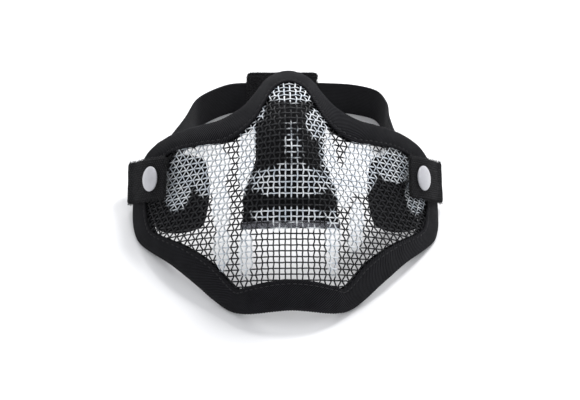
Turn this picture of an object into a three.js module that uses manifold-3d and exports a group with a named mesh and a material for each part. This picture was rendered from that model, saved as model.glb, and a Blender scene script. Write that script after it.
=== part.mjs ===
import * as THREE from 'three';
import { mergeVertices } from 'three/addons/utils/BufferGeometryUtils.js';
import Module from 'manifold-3d';

// A half-face mask of woven wire mesh with a taped rim, lying back on a flat surface with its elastic
// head loop standing behind it. Millimetres, +Z up, the front of the mask towards -Y.
//
// The mask itself is drawn in a face frame: x across, u up the face from the chin, f forward.
// It is then leaned back until the chin and the two lower cheek corners touch the surface.

const wasm = await Module();
wasm.setup();

// ---------------------------------------------------------------- driving dimensions
const HALF_WIDTH = 86; // middle of the mask to the widest point of the mesh edge
const FACE_HEIGHT = 129; // chin edge to the top of the nose
const SIDE_DEPTH = 61; // how far the widest point lies behind the flat of the cheeks
const CHEEK_FORWARD = 10; // height of the cheek flat above the chin corners

const MESH_THICKNESS = 1.4; // two crossed wires
const TAPE_THICKNESS = 1.2;
const TAPE_WIDTH = 14.5; // what shows of the folded tape on each face
const FOAM_THICKNESS = 4;
const FOAM_MARGIN = 2.5; // foam edge to tape edge, and to the fold
const LINING_THICKNESS = 1.2;
const LINING_HALF_WIDTH = 20.5;
const LINING_FOOT = 27; // half width of the lining over the mouth
const LINING_WAIST = [62, 80]; // heights between which the lining narrows
const LINING_BOTTOM = 44; // height of the lining's lower edge
const LINING_TOP = 119;
const PAD_FORWARD = 5; // middle of the cloth behind each cheek, forward of the snap
const PAD_DROP = 8; // and below it
const PAD_HALF_WIDTH = 17.5;
const PAD_HALF_HEIGHT = FACE_HEIGHT * 0.17;

const STRAP_WIDTH = 23;
const TAB_THICKNESS = 1.6;
const BAND_THICKNESS = 1.5;
const TAB_FRONT = 13; // snap centre to the tab's front end
const TAB_BULGE = 2.6; // free space between the rim's fold and the tab that passes it
const TAB_TAIL = 5.6; // how far the tab runs down behind the rim

const SNAP_INSET = 16; // snap centre in from the mask's widest point
const SNAP_DROP = 15; // snap centre below the upper corner of the cheek
const CAP_RADIUS = 7;
const SOCKET_RADIUS = 5.5;
const STUD_HEAD_RADIUS = 2.9;
const SHANK_RADIUS = 1.8;
const SHANK_CLEARANCE = 0.35;

const PATCH_LENGTH = 43;
const PATCH_HEIGHT = 32;
const PATCH_THICKNESS = 2.2;
const PATCH_CORNER = 2.5;
const LOOP_REACH = 79; // seam line at the tabs to the closure patch
const TWIST_SHARE = 0.5; // part of each band over which it turns from leaning to upright

const GAP = 0.3; // between pieces that touch
const CURVED_GAP = 0.5; // between a flat flange and the curved mesh
const SEAM_GAP = 1.2; // between the tab's tail and the elastic sewn to it
const RIM_STEPS = 72; // steps round the whole rim
const INNER_RINGS = 7; // rings of the mesh inside the tape
const BEHIND_TAPE = -(MESH_THICKNESS / 2 + 2 * GAP + TAPE_THICKNESS); // clear of the tape's back face

// ---------------------------------------------------------------- materials
const wire = new THREE.MeshStandardMaterial({ color: 0x5a5b5e, roughness: 0.55, metalness: 0.4 });
const tape = new THREE.MeshStandardMaterial({ color: 0x1b1c1e, roughness: 0.95 });
const foam = new THREE.MeshStandardMaterial({ color: 0x17181a, roughness: 1 });
const lining = new THREE.MeshStandardMaterial({ color: 0x0f0f11, roughness: 0.95 });
const webbing = new THREE.MeshStandardMaterial({ color: 0x202124, roughness: 1 });
const elastic = new THREE.MeshStandardMaterial({ color: 0x141416, roughness: 0.85 });
const pile = new THREE.MeshStandardMaterial({ color: 0x1a1b1d, roughness: 1 });
const capPaint = new THREE.MeshStandardMaterial({ color: 0xbfc0c4, roughness: 0.35, metalness: 0.1 });
const steel = new THREE.MeshStandardMaterial({ color: 0x8d8f93, roughness: 0.35, metalness: 0.9 });

// ---------------------------------------------------------------- the face surface
// Outline of the mesh, chin centre to nose top, as [x, u] on a mask 86 mm by 129 mm.
const OUTLINE_SIZE = [86, 129];
const OUTLINE = [
  [0, 2], [24, 0], [31, 1], [40, 7], [48, 14], [63, 26], [81, 38], [84.5, 44], [86, 53], [86, 63],
  [84.5, 73], [82, 81], [78, 88], [71, 93.5], [61, 97.5], [48.7, 99.8], [38, 101.5], [30, 105],
  [23.5, 109.5], [17.8, 116], [10.5, 125], [0, 129],
];

// Each list is [height, value] up the middle of the face, on a mask 129 mm high.
const CENTRE_LINE = [[0, 12], [20, 14], [40, 15], [50, 19.5], [60, 22], [72, 27.5], [82, 29.5],
  [92, 28.5], [102, 25], [112, 17.5], [121, 7], [129, -6]];
const CHEEK_FALL = [[0, 0], [92, 0], [104, 4.5], [114, 11], [122, 18], [129, 25]];
const SIDE_CURVE = [[0, 2.3], [7, 1.56], [14, 1.22], [26, 0.98], [40, 0.87], [52, 0.92], [62, 1],
  [72, 1.06], [88, 1.05], [100, 1.14], [129, 1.3]];
const RIDGE_WIDTH = [[0, 30], [40, 30], [60, 26], [76, 20], [92, 17.5], [106, 15], [129, 13]];
const RIDGE_SQUARENESS = [[0, 4], [52, 4], [76, 2.5], [129, 2.4]];
const SIDE_POWER = 2.4;
const UPPER_CORNER = 88; // height of the upper corner of the cheek in the outline

function smooth(list, height) {
  const at = (height * OUTLINE_SIZE[1]) / FACE_HEIGHT;
  const last = list.length - 1;
  const slope = (k) => {
    const low = list[Math.max(k - 1, 0)];
    const high = list[Math.min(k + 1, last)];
    return (high[1] - low[1]) / (high[0] - low[0]);
  };
  if (at <= list[0][0]) return list[0][1] + slope(0) * (at - list[0][0]);
  if (at >= list[last][0]) return list[last][1] + slope(last) * (at - list[last][0]);
  const i = list.findIndex((entry) => entry[0] > at) - 1;
  const span = list[i + 1][0] - list[i][0];
  const s = (at - list[i][0]) / span;
  const rise = s * s * (3 - 2 * s);
  const easeIn = s * (1 - s) * (1 - s) * slope(i) * span;
  const easeOut = s * s * (s - 1) * slope(i + 1) * span;
  return list[i][1] * (1 - rise) + list[i + 1][1] * rise + easeIn + easeOut;
}

// Forward height of the face surface at x, u.
function forward(x, u) {
  const side = smooth(SIDE_CURVE, u) * SIDE_DEPTH * (Math.abs(x) / HALF_WIDTH) ** SIDE_POWER;
  const flat = CHEEK_FORWARD - smooth(CHEEK_FALL, u);
  const ridge = smooth(CENTRE_LINE, u) - flat;
  const across = Math.abs(x) / smooth(RIDGE_WIDTH, u);
  return flat - side + ridge * Math.exp(-(across ** smooth(RIDGE_SQUARENESS, u)));
}

function slopes(x, u) {
  const step = 0.2;
  return [
    (forward(x + step, u) - forward(x - step, u)) / (2 * step),
    (forward(x, u + step) - forward(x, u - step)) / (2 * step),
  ];
}

// A point of the surface, moved out along its normal.
function onFace(x, u, out = 0) {
  const [alongX, alongU] = slopes(x, u);
  const normal = new THREE.Vector3(-alongX, -1, -alongU).normalize();
  return new THREE.Vector3(x, -forward(x, u), u).addScaledVector(normal, out);
}

// ---------------------------------------------------------------- the rim
const rimHalf = OUTLINE.map(([x, u]) => new THREE.Vector3(
  (x * HALF_WIDTH) / OUTLINE_SIZE[0],
  (u * FACE_HEIGHT) / OUTLINE_SIZE[1],
  0,
));
const rimOther = rimHalf.slice(1, -1).reverse().map((p) => new THREE.Vector3(-p.x, p.y, 0));
const rimCurve = new THREE.CatmullRomCurve3([...rimHalf, ...rimOther], true, 'centripetal');
rimCurve.arcLengthDivisions = 1000;
const MIDDLE = new THREE.Vector3(0, FACE_HEIGHT * 0.47, 0);

// The place on the face `inward` mm from the rim, measured along the surface; negative is outside.
function fromRim(t, inward) {
  const turn = t - Math.floor(t);
  const point = rimCurve.getPointAt(turn);
  const along = rimCurve.getTangentAt(turn);
  const square = new THREE.Vector3(-along.y, along.x, 0);
  const towardsMiddle = MIDDLE.clone().sub(point).normalize();
  const way = square.add(towardsMiddle).normalize().multiplyScalar(Math.sign(inward) || 1);
  const steps = Math.ceil(Math.abs(inward) / 0.8);
  for (let i = 0; i < steps; i += 1) {
    const [alongX, alongU] = slopes(point.x, point.y);
    const climb = alongX * way.x + alongU * way.y;
    point.addScaledVector(way, Math.abs(inward) / steps / Math.hypot(1, climb));
  }
  return point;
}

function rimPoint(t, inward, out) {
  const place = fromRim(t, inward);
  return onFace(place.x, place.y, out);
}

// ---------------------------------------------------------------- solids from points
function asSolid(points, faces) {
  const geometry = new THREE.BufferGeometry();
  geometry.setAttribute('position', new THREE.Float32BufferAttribute(points.flatMap((p) => p.toArray()), 3));
  let volume = 0;
  for (const [a, b, c] of faces) {
    volume += points[a].dot(points[b].clone().cross(points[c]));
  }
  const outward = volume > 0 ? faces : faces.map(([a, b, c]) => [a, c, b]);
  geometry.setIndex(outward.flat());
  return geometry;
}

// Skins a row of sections, each a loop of points; `outline` is the loop in 2D, for the end caps.
function skin(sections, outline, closed = false) {
  const count = sections[0].length;
  const faces = [];
  const rows = closed ? sections.length : sections.length - 1;
  for (let i = 0; i < rows; i += 1) {
    const here = i * count;
    const next = ((i + 1) % sections.length) * count;
    for (let k = 0; k < count; k += 1) {
      const after = (k + 1) % count;
      faces.push([here + k, next + k, next + after]);
      faces.push([here + k, next + after, here + after]);
    }
  }
  if (!closed) {
    const flat = outline.map(([a, b]) => new THREE.Vector2(a, b));
    const clockwise = THREE.ShapeUtils.isClockWise(flat);
    const end = (sections.length - 1) * count;
    for (const [a, b, c] of THREE.ShapeUtils.triangulateShape(flat, [])) {
      faces.push(clockwise ? [a, c, b] : [a, b, c]);
      faces.push(clockwise ? [end + a, end + b, end + c] : [end + a, end + c, end + b]);
    }
  }
  return asSolid(sections.flat(), faces);
}

function toManifold(geometry) {
  const bare = geometry.clone();
  bare.deleteAttribute('normal');
  bare.deleteAttribute('uv');
  const merged = mergeVertices(bare, 1e-5);
  return new wasm.Manifold(new wasm.Mesh({
    numProp: 3,
    vertProperties: new Float32Array(merged.attributes.position.array),
    triVerts: new Uint32Array(merged.index.array),
  }));
}

function fromManifold(solid) {
  const result = solid.getMesh();
  const geometry = new THREE.BufferGeometry();
  geometry.setAttribute('position', new THREE.BufferAttribute(new Float32Array(result.vertProperties), 3));
  geometry.setIndex(new THREE.BufferAttribute(new Uint32Array(result.triVerts), 1));
  return geometry;
}

function drill(geometry, radius, frames) {
  let solid = toManifold(geometry);
  for (const frame of frames) {
    const drillBit = new THREE.CylinderGeometry(radius, radius, 30, 16).applyMatrix4(frame);
    solid = solid.subtract(toManifold(drillBit));
  }
  return fromManifold(solid);
}

function named(name, geometry, material) {
  const piece = new THREE.Mesh(geometry, material);
  piece.name = name;
  return piece;
}

// ---------------------------------------------------------------- snap places
const SNAP_X = HALF_WIDTH - SNAP_INSET;
const SNAP_HEIGHT = (UPPER_CORNER * FACE_HEIGHT) / OUTLINE_SIZE[1] - SNAP_DROP;

// Local frame at a snap: X back along the surface towards the rim, Y out of the mask.
function snapFrame(side) {
  const x = side * SNAP_X;
  const [alongX] = slopes(x, SNAP_HEIGHT);
  const back = new THREE.Vector3(side, -alongX * side, 0).normalize();
  const out = onFace(x, SNAP_HEIGHT, 1).sub(onFace(x, SNAP_HEIGHT)).normalize();
  const across = back.clone().cross(out);
  return new THREE.Matrix4().makeBasis(back, out, across).setPosition(onFace(x, SNAP_HEIGHT));
}
const snapFrames = { left: snapFrame(-1), right: snapFrame(1) };

// ---------------------------------------------------------------- mesh shell
function meshShell() {
  const half = MESH_THICKNESS / 2;
  const tapeStations = [0, TAPE_WIDTH / 3, (TAPE_WIDTH * 2) / 3, TAPE_WIDTH];
  const places = tapeStations.map((inward) => (
    Array.from({ length: RIM_STEPS }, (_, i) => fromRim(i / RIM_STEPS, inward))
  ));
  const innermost = places[places.length - 1];
  for (let ring = 1; ring < INNER_RINGS; ring += 1) {
    places.push(innermost.map((place) => place.clone().lerp(MIDDLE, ring / INNER_RINGS)));
  }
  const rings = places.length;
  const points = [half, -half].flatMap((out) => [
    ...places.flat().map((place) => onFace(place.x, place.y, out)),
    onFace(MIDDLE.x, MIDDLE.y, out),
  ]);
  const layer = rings * RIM_STEPS + 1;
  const faces = [];
  for (let k = 0; k < RIM_STEPS; k += 1) {
    const after = (k + 1) % RIM_STEPS;
    for (let ring = 0; ring < rings - 1; ring += 1) {
      const a = ring * RIM_STEPS;
      const b = a + RIM_STEPS;
      faces.push([a + k, a + after, b + k], [b + k, a + after, b + after]);
      faces.push([layer + a + k, layer + b + after, layer + a + after]);
      faces.push([layer + a + k, layer + b + k, layer + b + after]);
    }
    const last = (rings - 1) * RIM_STEPS;
    faces.push([last + k, last + after, layer - 1]);
    faces.push([layer + last + k, 2 * layer - 1, layer + last + after]);
    faces.push([k, layer + k, layer + after], [k, layer + after, after]);
  }
  const solid = asSolid(points, faces);
  return drill(solid, SHANK_RADIUS + SHANK_CLEARANCE, Object.values(snapFrames));
}

// ---------------------------------------------------------------- strips along the rim
// Step of the rim nearest to the right-hand snap's height; its mirror image is on the left.
const rimSteps = Array.from({ length: RIM_STEPS / 2 }, (_, i) => rimCurve.getPointAt(i / RIM_STEPS));
const nearest = (measure) => rimSteps.reduce((best, p, i) => (
  measure(p) < measure(rimSteps[best]) ? i : best
), 0);
const JOIN_STEP = nearest((p) => Math.abs(p.y - SNAP_HEIGHT) + (p.x < HALF_WIDTH / 2 ? HALF_WIDTH : 0));
const NOSE_STEP = nearest((p) => Math.abs(p.x - HALF_WIDTH * 0.42) + Math.max(0, FACE_HEIGHT * 0.7 - p.y));
const RIM_LENGTH = rimCurve.getLength();

// A strip of section [inward, out] from one rim step to another, its ends drawn in by half a gap.
function rimStrip(fromStep, toStep, section, trim = GAP / 2) {
  const steps = [];
  for (let i = fromStep; i <= toStep; i += 1) {
    let t = i / RIM_STEPS;
    if (i === fromStep) t += trim / RIM_LENGTH;
    if (i === toStep) t -= trim / RIM_LENGTH;
    steps.push(section.map(([inward, out]) => rimPoint(t, inward, out)));
  }
  return skin(steps, section);
}

function tapeSection() {
  const inside = MESH_THICKNESS / 2 + GAP;
  const outside = inside + TAPE_THICKNESS;
  const third = TAPE_WIDTH / 3;
  const inner = [[TAPE_WIDTH, inside], [2 * third, inside], [third, inside], [-GAP, inside]];
  const fold = -GAP - TAPE_THICKNESS;
  const outer = [[fold, -inside * 0.5], [-GAP, -outside], [third, -outside], [2 * third, -outside],
    [TAPE_WIDTH, -outside]];
  const mirrored = (points) => points.map(([inward, out]) => [inward, -out]).reverse();
  return [...inner, ...mirrored(inner), ...[...outer].reverse(), ...mirrored([...outer].reverse())];
}

function foamSection() {
  const top = BEHIND_TAPE;
  const bottom = top - FOAM_THICKNESS;
  const third = TAPE_WIDTH / 3;
  const first = FOAM_MARGIN;
  const last = TAPE_WIDTH - FOAM_MARGIN;
  return [[first + 1, bottom], [last - 1, bottom], [last, top], [2 * third, top], [third, top],
    [first, top]];
}

// ---------------------------------------------------------------- cloth behind the mesh
// A thin cloth behind the mesh; place(a, b) gives its [x, u] at -1 to 1 across and up the cloth.
function clothBehind(front, place, rows, columns) {
  const layers = [front, front - LINING_THICKNESS].map((out) => {
    const grid = [];
    for (let row = 0; row <= rows; row += 1) {
      for (let column = 0; column <= columns; column += 1) {
        const [x, u] = place((2 * column) / columns - 1, (2 * row) / rows - 1);
        grid.push(onFace(x, u, out));
      }
    }
    return grid;
  });
  const count = layers[0].length;
  const across = columns + 1;
  const faces = [];
  const quad = (a, b, c, d) => faces.push([a, b, c], [a, c, d]);
  for (let row = 0; row < rows; row += 1) {
    for (let column = 0; column < columns; column += 1) {
      const a = row * across + column;
      quad(a, a + 1, a + 1 + across, a + across);
      quad(count + a, count + a + across, count + a + 1 + across, count + a + 1);
    }
    const left = row * across;
    const right = left + columns;
    quad(left, left + across, count + left + across, count + left);
    quad(right, count + right, count + right + across, right + across);
  }
  for (let column = 0; column < columns; column += 1) {
    const top = rows * across + column;
    quad(column, count + column, count + column + 1, column + 1);
    quad(top, top + 1, count + top + 1, count + top);
  }
  return asSolid(layers.flat(), faces);
}

function noseLining() {
  const halfWidths = rimSteps.filter((p) => p.y > FACE_HEIGHT * 0.75);
  const rimHalfWidth = (u) => Math.min(...halfWidths.filter((p) => p.y <= u + 3).map((p) => p.x));
  return clothBehind(BEHIND_TAPE, (a, b) => {
    const u = (LINING_BOTTOM + LINING_TOP + b * (LINING_TOP - LINING_BOTTOM)) / 2;
    const limit = u > FACE_HEIGHT * 0.8 ? rimHalfWidth(u) - FOAM_MARGIN : HALF_WIDTH;
    const [low, high] = LINING_WAIST;
    const share = Math.min(1, Math.max(0, (u - low) / (high - low)));
    const half = LINING_FOOT + (LINING_HALF_WIDTH - LINING_FOOT) * share;
    return [a * Math.min(half, limit), u];
  }, 16, 10);
}

// A cloth with round corners over the foam of each cheek: the square of a and b, its corners drawn in.
function cheekPad(side) {
  return clothBehind(BEHIND_TAPE - FOAM_THICKNESS - GAP, (a, b) => [
    side * (SNAP_X - PAD_FORWARD) + a * PAD_HALF_WIDTH * Math.sqrt(1 - (b * b) / 3),
    SNAP_HEIGHT - PAD_DROP + b * PAD_HALF_HEIGHT * Math.sqrt(1 - (a * a) / 3),
  ], 10, 10);
}

// ---------------------------------------------------------------- snap fasteners
// Heights out of the mask, from the middle of the mesh.
const MESH_FACE = MESH_THICKNESS / 2;
const FLANGE_THICKNESS = 0.8;
const STUD_BASE = MESH_FACE + CURVED_GAP;
const STUD_TOP = STUD_BASE + 3;
const SOCKET_BASE = STUD_BASE + FLANGE_THICKNESS + GAP;
const SOCKET_TOP = STUD_TOP + 1;
const TAB_UNDER = SOCKET_TOP + GAP;
const CAP_BASE = TAB_UNDER + TAB_THICKNESS + GAP;
const CAP_HEIGHT = 2.4;

function turned(profile, segments = 20) {
  return new THREE.LatheGeometry(profile.map(([r, h]) => new THREE.Vector2(r, h)), segments);
}

function snapPost() {
  const back = -MESH_FACE - CURVED_GAP;
  return turned([
    [0, back - FLANGE_THICKNESS], [SOCKET_RADIUS, back - FLANGE_THICKNESS], [SOCKET_RADIUS, back],
    [SHANK_RADIUS, back], [SHANK_RADIUS, MESH_FACE], [0, MESH_FACE],
  ]);
}

function snapStud() {
  const flangeTop = STUD_BASE + FLANGE_THICKNESS;
  const neck = STUD_HEAD_RADIUS - 0.5;
  return turned([
    [0, STUD_BASE], [SOCKET_RADIUS, STUD_BASE], [SOCKET_RADIUS, flangeTop], [neck, flangeTop],
    [neck, flangeTop + 0.8], [STUD_HEAD_RADIUS, flangeTop + 1.4], [STUD_HEAD_RADIUS - 0.6, STUD_TOP],
    [0, STUD_TOP],
  ]);
}

function snapSocket() {
  const mouth = STUD_HEAD_RADIUS + GAP;
  return turned([
    [0, STUD_TOP + GAP], [mouth, STUD_TOP + GAP], [mouth, SOCKET_BASE], [SOCKET_RADIUS, SOCKET_BASE],
    [SOCKET_RADIUS, SOCKET_TOP - 0.4], [SOCKET_RADIUS - 0.4, SOCKET_TOP], [0, SOCKET_TOP],
  ]);
}

function snapCap() {
  const top = CAP_BASE + CAP_HEIGHT;
  const rim = CAP_BASE + 0.7;
  return turned([
    [0, TAB_UNDER], [SHANK_RADIUS, TAB_UNDER], [SHANK_RADIUS, CAP_BASE], [CAP_RADIUS, CAP_BASE],
    [CAP_RADIUS, rim], [CAP_RADIUS * 0.86, rim + (top - rim) * 0.6],
    [CAP_RADIUS * 0.5, rim + (top - rim) * 0.93], [CAP_RADIUS * 0.3, top], [0, top],
  ], 24);
}

// ---------------------------------------------------------------- webbing tabs
// Points of the rim under the tab's width, [back, out] in the snap's frame.
const snapInverse = snapFrames.right.clone().invert();
const joinTurn = JOIN_STEP / RIM_STEPS;
const underTab = (inward, out) => [-0.55, -0.35, -0.15, 0.05, 0.25, 0.45, 0.6].map((share) => (
  rimPoint(joinTurn + (share * STRAP_WIDTH) / RIM_LENGTH, inward, out).applyMatrix4(snapInverse)
));
const tapeFace = MESH_FACE + GAP + TAPE_THICKNESS;
const highestTape = (inward) => Math.max(...underTab(inward, tapeFace).map((p) => p.y));
const overTape = (inward) => highestTape(inward) + GAP + TAB_THICKNESS / 2;
const foldPoints = underTab(-GAP - TAPE_THICKNESS, 0);
const FOLD_BACK = Math.max(...foldPoints.map((p) => p.x));
const FOLD_OUT = Math.min(...foldPoints.map((p) => p.y));
const TAIL_BACK = FOLD_BACK + 0.9 + TAB_THICKNESS / 2;

const tabLine = new THREE.CatmullRomCurve3([
  [-TAB_FRONT, TAB_UNDER + TAB_THICKNESS / 2],
  [-SOCKET_RADIUS, TAB_UNDER + TAB_THICKNESS / 2],
  [SOCKET_RADIUS + 1, TAB_UNDER + TAB_THICKNESS / 2],
  [FOLD_BACK - TAPE_WIDTH, overTape(TAPE_WIDTH) + 1],
  [FOLD_BACK - TAPE_WIDTH / 2, overTape(TAPE_WIDTH / 2) + 0.4],
  [FOLD_BACK - 1, overTape(0) + 0.3],
  [FOLD_BACK + TAB_BULGE * 0.7, overTape(0) - 1.4],
  [FOLD_BACK + TAB_BULGE + TAB_THICKNESS / 2, FOLD_OUT],
  [TAIL_BACK + 0.5, FOLD_OUT - TAB_TAIL + 1.5],
  [TAIL_BACK, FOLD_OUT - TAB_TAIL],
].map(([back, out]) => new THREE.Vector3(back, out, 0)), false, 'centripetal');

function tab(frame) {
  const steps = 22;
  const sides = [1, -1].map((side) => {
    const edge = [];
    for (let i = 0; i <= steps; i += 1) {
      const along = tabLine.getTangentAt(i / steps);
      const point = tabLine.getPointAt(i / steps);
      edge.push(new THREE.Vector2(
        point.x - (side * along.y * TAB_THICKNESS) / 2,
        point.y + (side * along.x * TAB_THICKNESS) / 2,
      ));
    }
    return edge;
  });
  const shape = new THREE.Shape([...sides[1], ...sides[0].reverse()]);
  const geometry = new THREE.ExtrudeGeometry(shape, { depth: STRAP_WIDTH, bevelEnabled: false });
  geometry.translate(0, 0, -STRAP_WIDTH / 2);
  return drill(geometry.applyMatrix4(frame), SHANK_RADIUS + SHANK_CLEARANCE, [frame]);
}

// ---------------------------------------------------------------- leaning the mask back
function rest(points) {
  const lowest = (tilt, wide) => {
    const heights = points
      .filter((p) => (Math.abs(p.x) > HALF_WIDTH / 2) === wide)
      .map((p) => p.z * Math.cos(tilt) - p.y * Math.sin(tilt));
    return Math.min(...heights);
  };
  let low = 0.4;
  let high = 1.2;
  for (let i = 0; i < 40; i += 1) {
    const middle = (low + high) / 2;
    if (lowest(middle, true) > lowest(middle, false)) low = middle;
    else high = middle;
  }
  return { tilt: low, lift: -Math.min(lowest(low, true), lowest(low, false)) };
}

const upperTape = rimStrip(JOIN_STEP, RIM_STEPS - JOIN_STEP, tapeSection());
const lowerTape = rimStrip(-JOIN_STEP, JOIN_STEP, tapeSection());
const tapePoints = lowerTape.attributes.position;
const resting = rest(Array.from({ length: tapePoints.count }, (_, i) => (
  new THREE.Vector3().fromBufferAttribute(tapePoints, i)
)));

const mask = new THREE.Group();
mask.rotation.x = -resting.tilt;
mask.position.z = resting.lift;
mask.updateMatrix();

mask.add(named('mesh_shell', meshShell(), wire));
mask.add(named('upper_binding', upperTape, tape));
mask.add(named('lower_binding', lowerTape, tape));
mask.add(named('jaw_foam', rimStrip(-JOIN_STEP, JOIN_STEP, foamSection(), FOAM_MARGIN), foam));
mask.add(named('right_cheek_foam', rimStrip(JOIN_STEP, NOSE_STEP, foamSection(), FOAM_MARGIN), foam));
const leftFoam = rimStrip(RIM_STEPS - NOSE_STEP, RIM_STEPS - JOIN_STEP, foamSection(), FOAM_MARGIN);
mask.add(named('left_cheek_foam', leftFoam, foam));
mask.add(named('nose_lining', noseLining(), lining));
mask.add(named('left_cheek_pad', cheekPad(-1), lining));
mask.add(named('right_cheek_pad', cheekPad(1), lining));

for (const [side, frame] of Object.entries(snapFrames)) {
  mask.add(named(`${side}_tab`, tab(frame), webbing));
  mask.add(named(`${side}_snap_cap`, snapCap().applyMatrix4(frame), capPaint));
  mask.add(named(`${side}_snap_socket`, snapSocket().applyMatrix4(frame), steel));
  mask.add(named(`${side}_snap_stud`, snapStud().applyMatrix4(frame), steel));
  mask.add(named(`${side}_snap_post`, snapPost().applyMatrix4(frame), steel));
}

// ---------------------------------------------------------------- elastic head loop
// Where the elastic is sewn on, beside the tab's tail.
function seam(side) {
  const back = TAIL_BACK - TAB_THICKNESS / 2 - SEAM_GAP - BAND_THICKNESS / 2;
  const point = new THREE.Vector3(back, FOLD_OUT - TAB_TAIL - GAP, 0);
  return point.applyMatrix4(snapFrames[side]).applyMatrix4(mask.matrix);
}

// The way the elastic's width points there, which is the tab's own.
function seamWidth(side) {
  const across = new THREE.Vector3().setFromMatrixColumn(snapFrames[side], 2);
  across.multiplyScalar(Math.sign(across.z));
  return across.transformDirection(mask.matrix);
}

// Route of each half on the ground as [across, back from the seam], with its last point at the patch.
const PATCH_END = PATCH_LENGTH / 2 + GAP;
const ROUTES = {
  left: [[66, 26], [58, 47], [52, 63], [44, LOOP_REACH - 8], [33, LOOP_REACH - 1.5]],
  right: [[66, 26], [63.5, 46], [63, 60], [58.5, LOOP_REACH - 8], [45, LOOP_REACH - 2]],
};

function band(side) {
  const sign = side === 'left' ? -1 : 1;
  const start = seam(side);
  const standing = STRAP_WIDTH / 2;
  const route = ROUTES[side].map(([across, back], i) => new THREE.Vector3(
    sign * across,
    start.y + back,
    i === 0 ? standing + 1.2 : standing,
  ));
  const leaning = seamWidth(side);
  const away = new THREE.Vector3(-sign * 5, -0.7, 0.75);
  away.addScaledVector(leaning, -away.dot(leaning));
  const line = new THREE.CatmullRomCurve3([
    start,
    start.clone().add(away),
    ...route,
    new THREE.Vector3(sign * (PATCH_END + 4), start.y + LOOP_REACH, standing),
    new THREE.Vector3(sign * PATCH_END, start.y + LOOP_REACH, standing),
  ], false, 'centripetal');
  const upright = new THREE.Vector3(0, 0, 1);
  const steps = 34;
  const corners = [[1, 1], [-1, 1], [-1, -1], [1, -1]];
  const sections = [];
  for (let i = 0; i <= steps; i += 1) {
    const share = Math.min(1, i / steps / TWIST_SHARE);
    const along = line.getTangentAt(i / steps);
    const wide = leaning.clone().lerp(upright, share * share * (3 - 2 * share));
    wide.addScaledVector(along, -wide.dot(along)).normalize();
    const thick = wide.clone().cross(along);
    sections.push(corners.map(([a, b]) => line.getPointAt(i / steps)
      .addScaledVector(thick, (a * BAND_THICKNESS) / 2)
      .addScaledVector(wide, (b * STRAP_WIDTH) / 2)));
  }
  return skin(sections, corners);
}

function patch(thickness, height, back) {
  const half = PATCH_LENGTH / 2;
  const c = PATCH_CORNER;
  const shape = new THREE.Shape();
  shape.moveTo(-half + c, 0);
  shape.lineTo(half - c, 0);
  shape.absarc(half - c, c, c, -Math.PI / 2, 0);
  shape.absarc(half - c, height - c, c, 0, Math.PI / 2);
  shape.absarc(-half + c, height - c, c, Math.PI / 2, Math.PI);
  shape.absarc(-half + c, c, c, Math.PI, Math.PI * 1.5);
  const geometry = new THREE.ExtrudeGeometry(shape, { depth: thickness, bevelEnabled: false, curveSegments: 4 });
  return geometry.rotateX(Math.PI / 2).translate(0, back + thickness, 0);
}

const closureBack = (seam('left').y + seam('right').y) / 2 + LOOP_REACH;
const head = new THREE.Group();
head.add(named('left_band', band('left'), elastic));
head.add(named('right_band', band('right'), elastic));
head.add(named('loop_patch', patch(PATCH_THICKNESS, PATCH_HEIGHT, closureBack - PATCH_THICKNESS - GAP / 2), pile));
head.add(named('hook_patch', patch(PATCH_THICKNESS * 0.8, PATCH_HEIGHT - 2, closureBack + GAP / 2), pile));

// ---------------------------------------------------------------- the whole object
const object = new THREE.Group();
object.add(mask, head);
const box = new THREE.Box3().setFromObject(object, true);
object.position.set(-(box.min.x + box.max.x) / 2, -(box.min.y + box.max.y) / 2, -box.min.z);

export default object;
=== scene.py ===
"""The looks of the camo face mask: woven wire, folded tape, webbing tabs, press studs and head loop.

Lengths are in millimetres up to the last step, where points are turned to metres in the row frame.
The face frame is x across, f forward and u up the face, as in the CAD source.
"""

import math

import bmesh
import bpy
import numpy as np
from mathutils import Matrix, Vector


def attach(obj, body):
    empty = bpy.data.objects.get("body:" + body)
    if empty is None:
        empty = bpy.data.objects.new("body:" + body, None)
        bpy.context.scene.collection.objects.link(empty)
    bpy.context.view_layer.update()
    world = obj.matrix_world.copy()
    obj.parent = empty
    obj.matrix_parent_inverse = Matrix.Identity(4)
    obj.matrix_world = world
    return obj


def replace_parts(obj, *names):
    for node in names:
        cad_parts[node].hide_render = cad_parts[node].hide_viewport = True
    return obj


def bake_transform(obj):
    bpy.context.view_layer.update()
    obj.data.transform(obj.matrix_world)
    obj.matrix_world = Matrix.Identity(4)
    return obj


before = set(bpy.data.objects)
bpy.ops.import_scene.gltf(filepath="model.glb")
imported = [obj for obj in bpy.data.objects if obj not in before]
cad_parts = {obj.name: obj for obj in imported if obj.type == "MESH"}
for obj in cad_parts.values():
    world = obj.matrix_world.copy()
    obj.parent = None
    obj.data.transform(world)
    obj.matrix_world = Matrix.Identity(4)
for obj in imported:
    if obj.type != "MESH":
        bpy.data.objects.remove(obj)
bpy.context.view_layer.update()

# ---- sizes, as in the CAD source
HALF_WIDTH = 86
FACE_HEIGHT = 129
SIDE_DEPTH = 61
CHEEK_FORWARD = 10
MESH_THICKNESS = 1.4
TAPE_THICKNESS = 1.2
TAPE_WIDTH = 14.5
FOAM_THICKNESS = 4
FOAM_MARGIN = 2.5
LINING_THICKNESS = 1.2
LINING_BOTTOM, LINING_TOP = 44, 119
LINING_HALF_WIDTH, LINING_FOOT = 20.5, 27  # at the nose and over the mouth
LINING_WAIST = (62, 80)  # heights between which it narrows
PAD_X, PAD_HEIGHT = 65, 65
PAD_HALF_WIDTH, PAD_HALF_HEIGHT = 17.5, 21.93
STRAP_WIDTH = 23
TAB_THICKNESS = 1.6
BAND_THICKNESS = 1.5
TAB_FRONT, TAB_BULGE, TAB_TAIL = 13, 2.6, 5.6
SNAP_X, SNAP_HEIGHT = 70, 73
CAP_RADIUS, SOCKET_RADIUS = 7, 5.5
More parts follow.
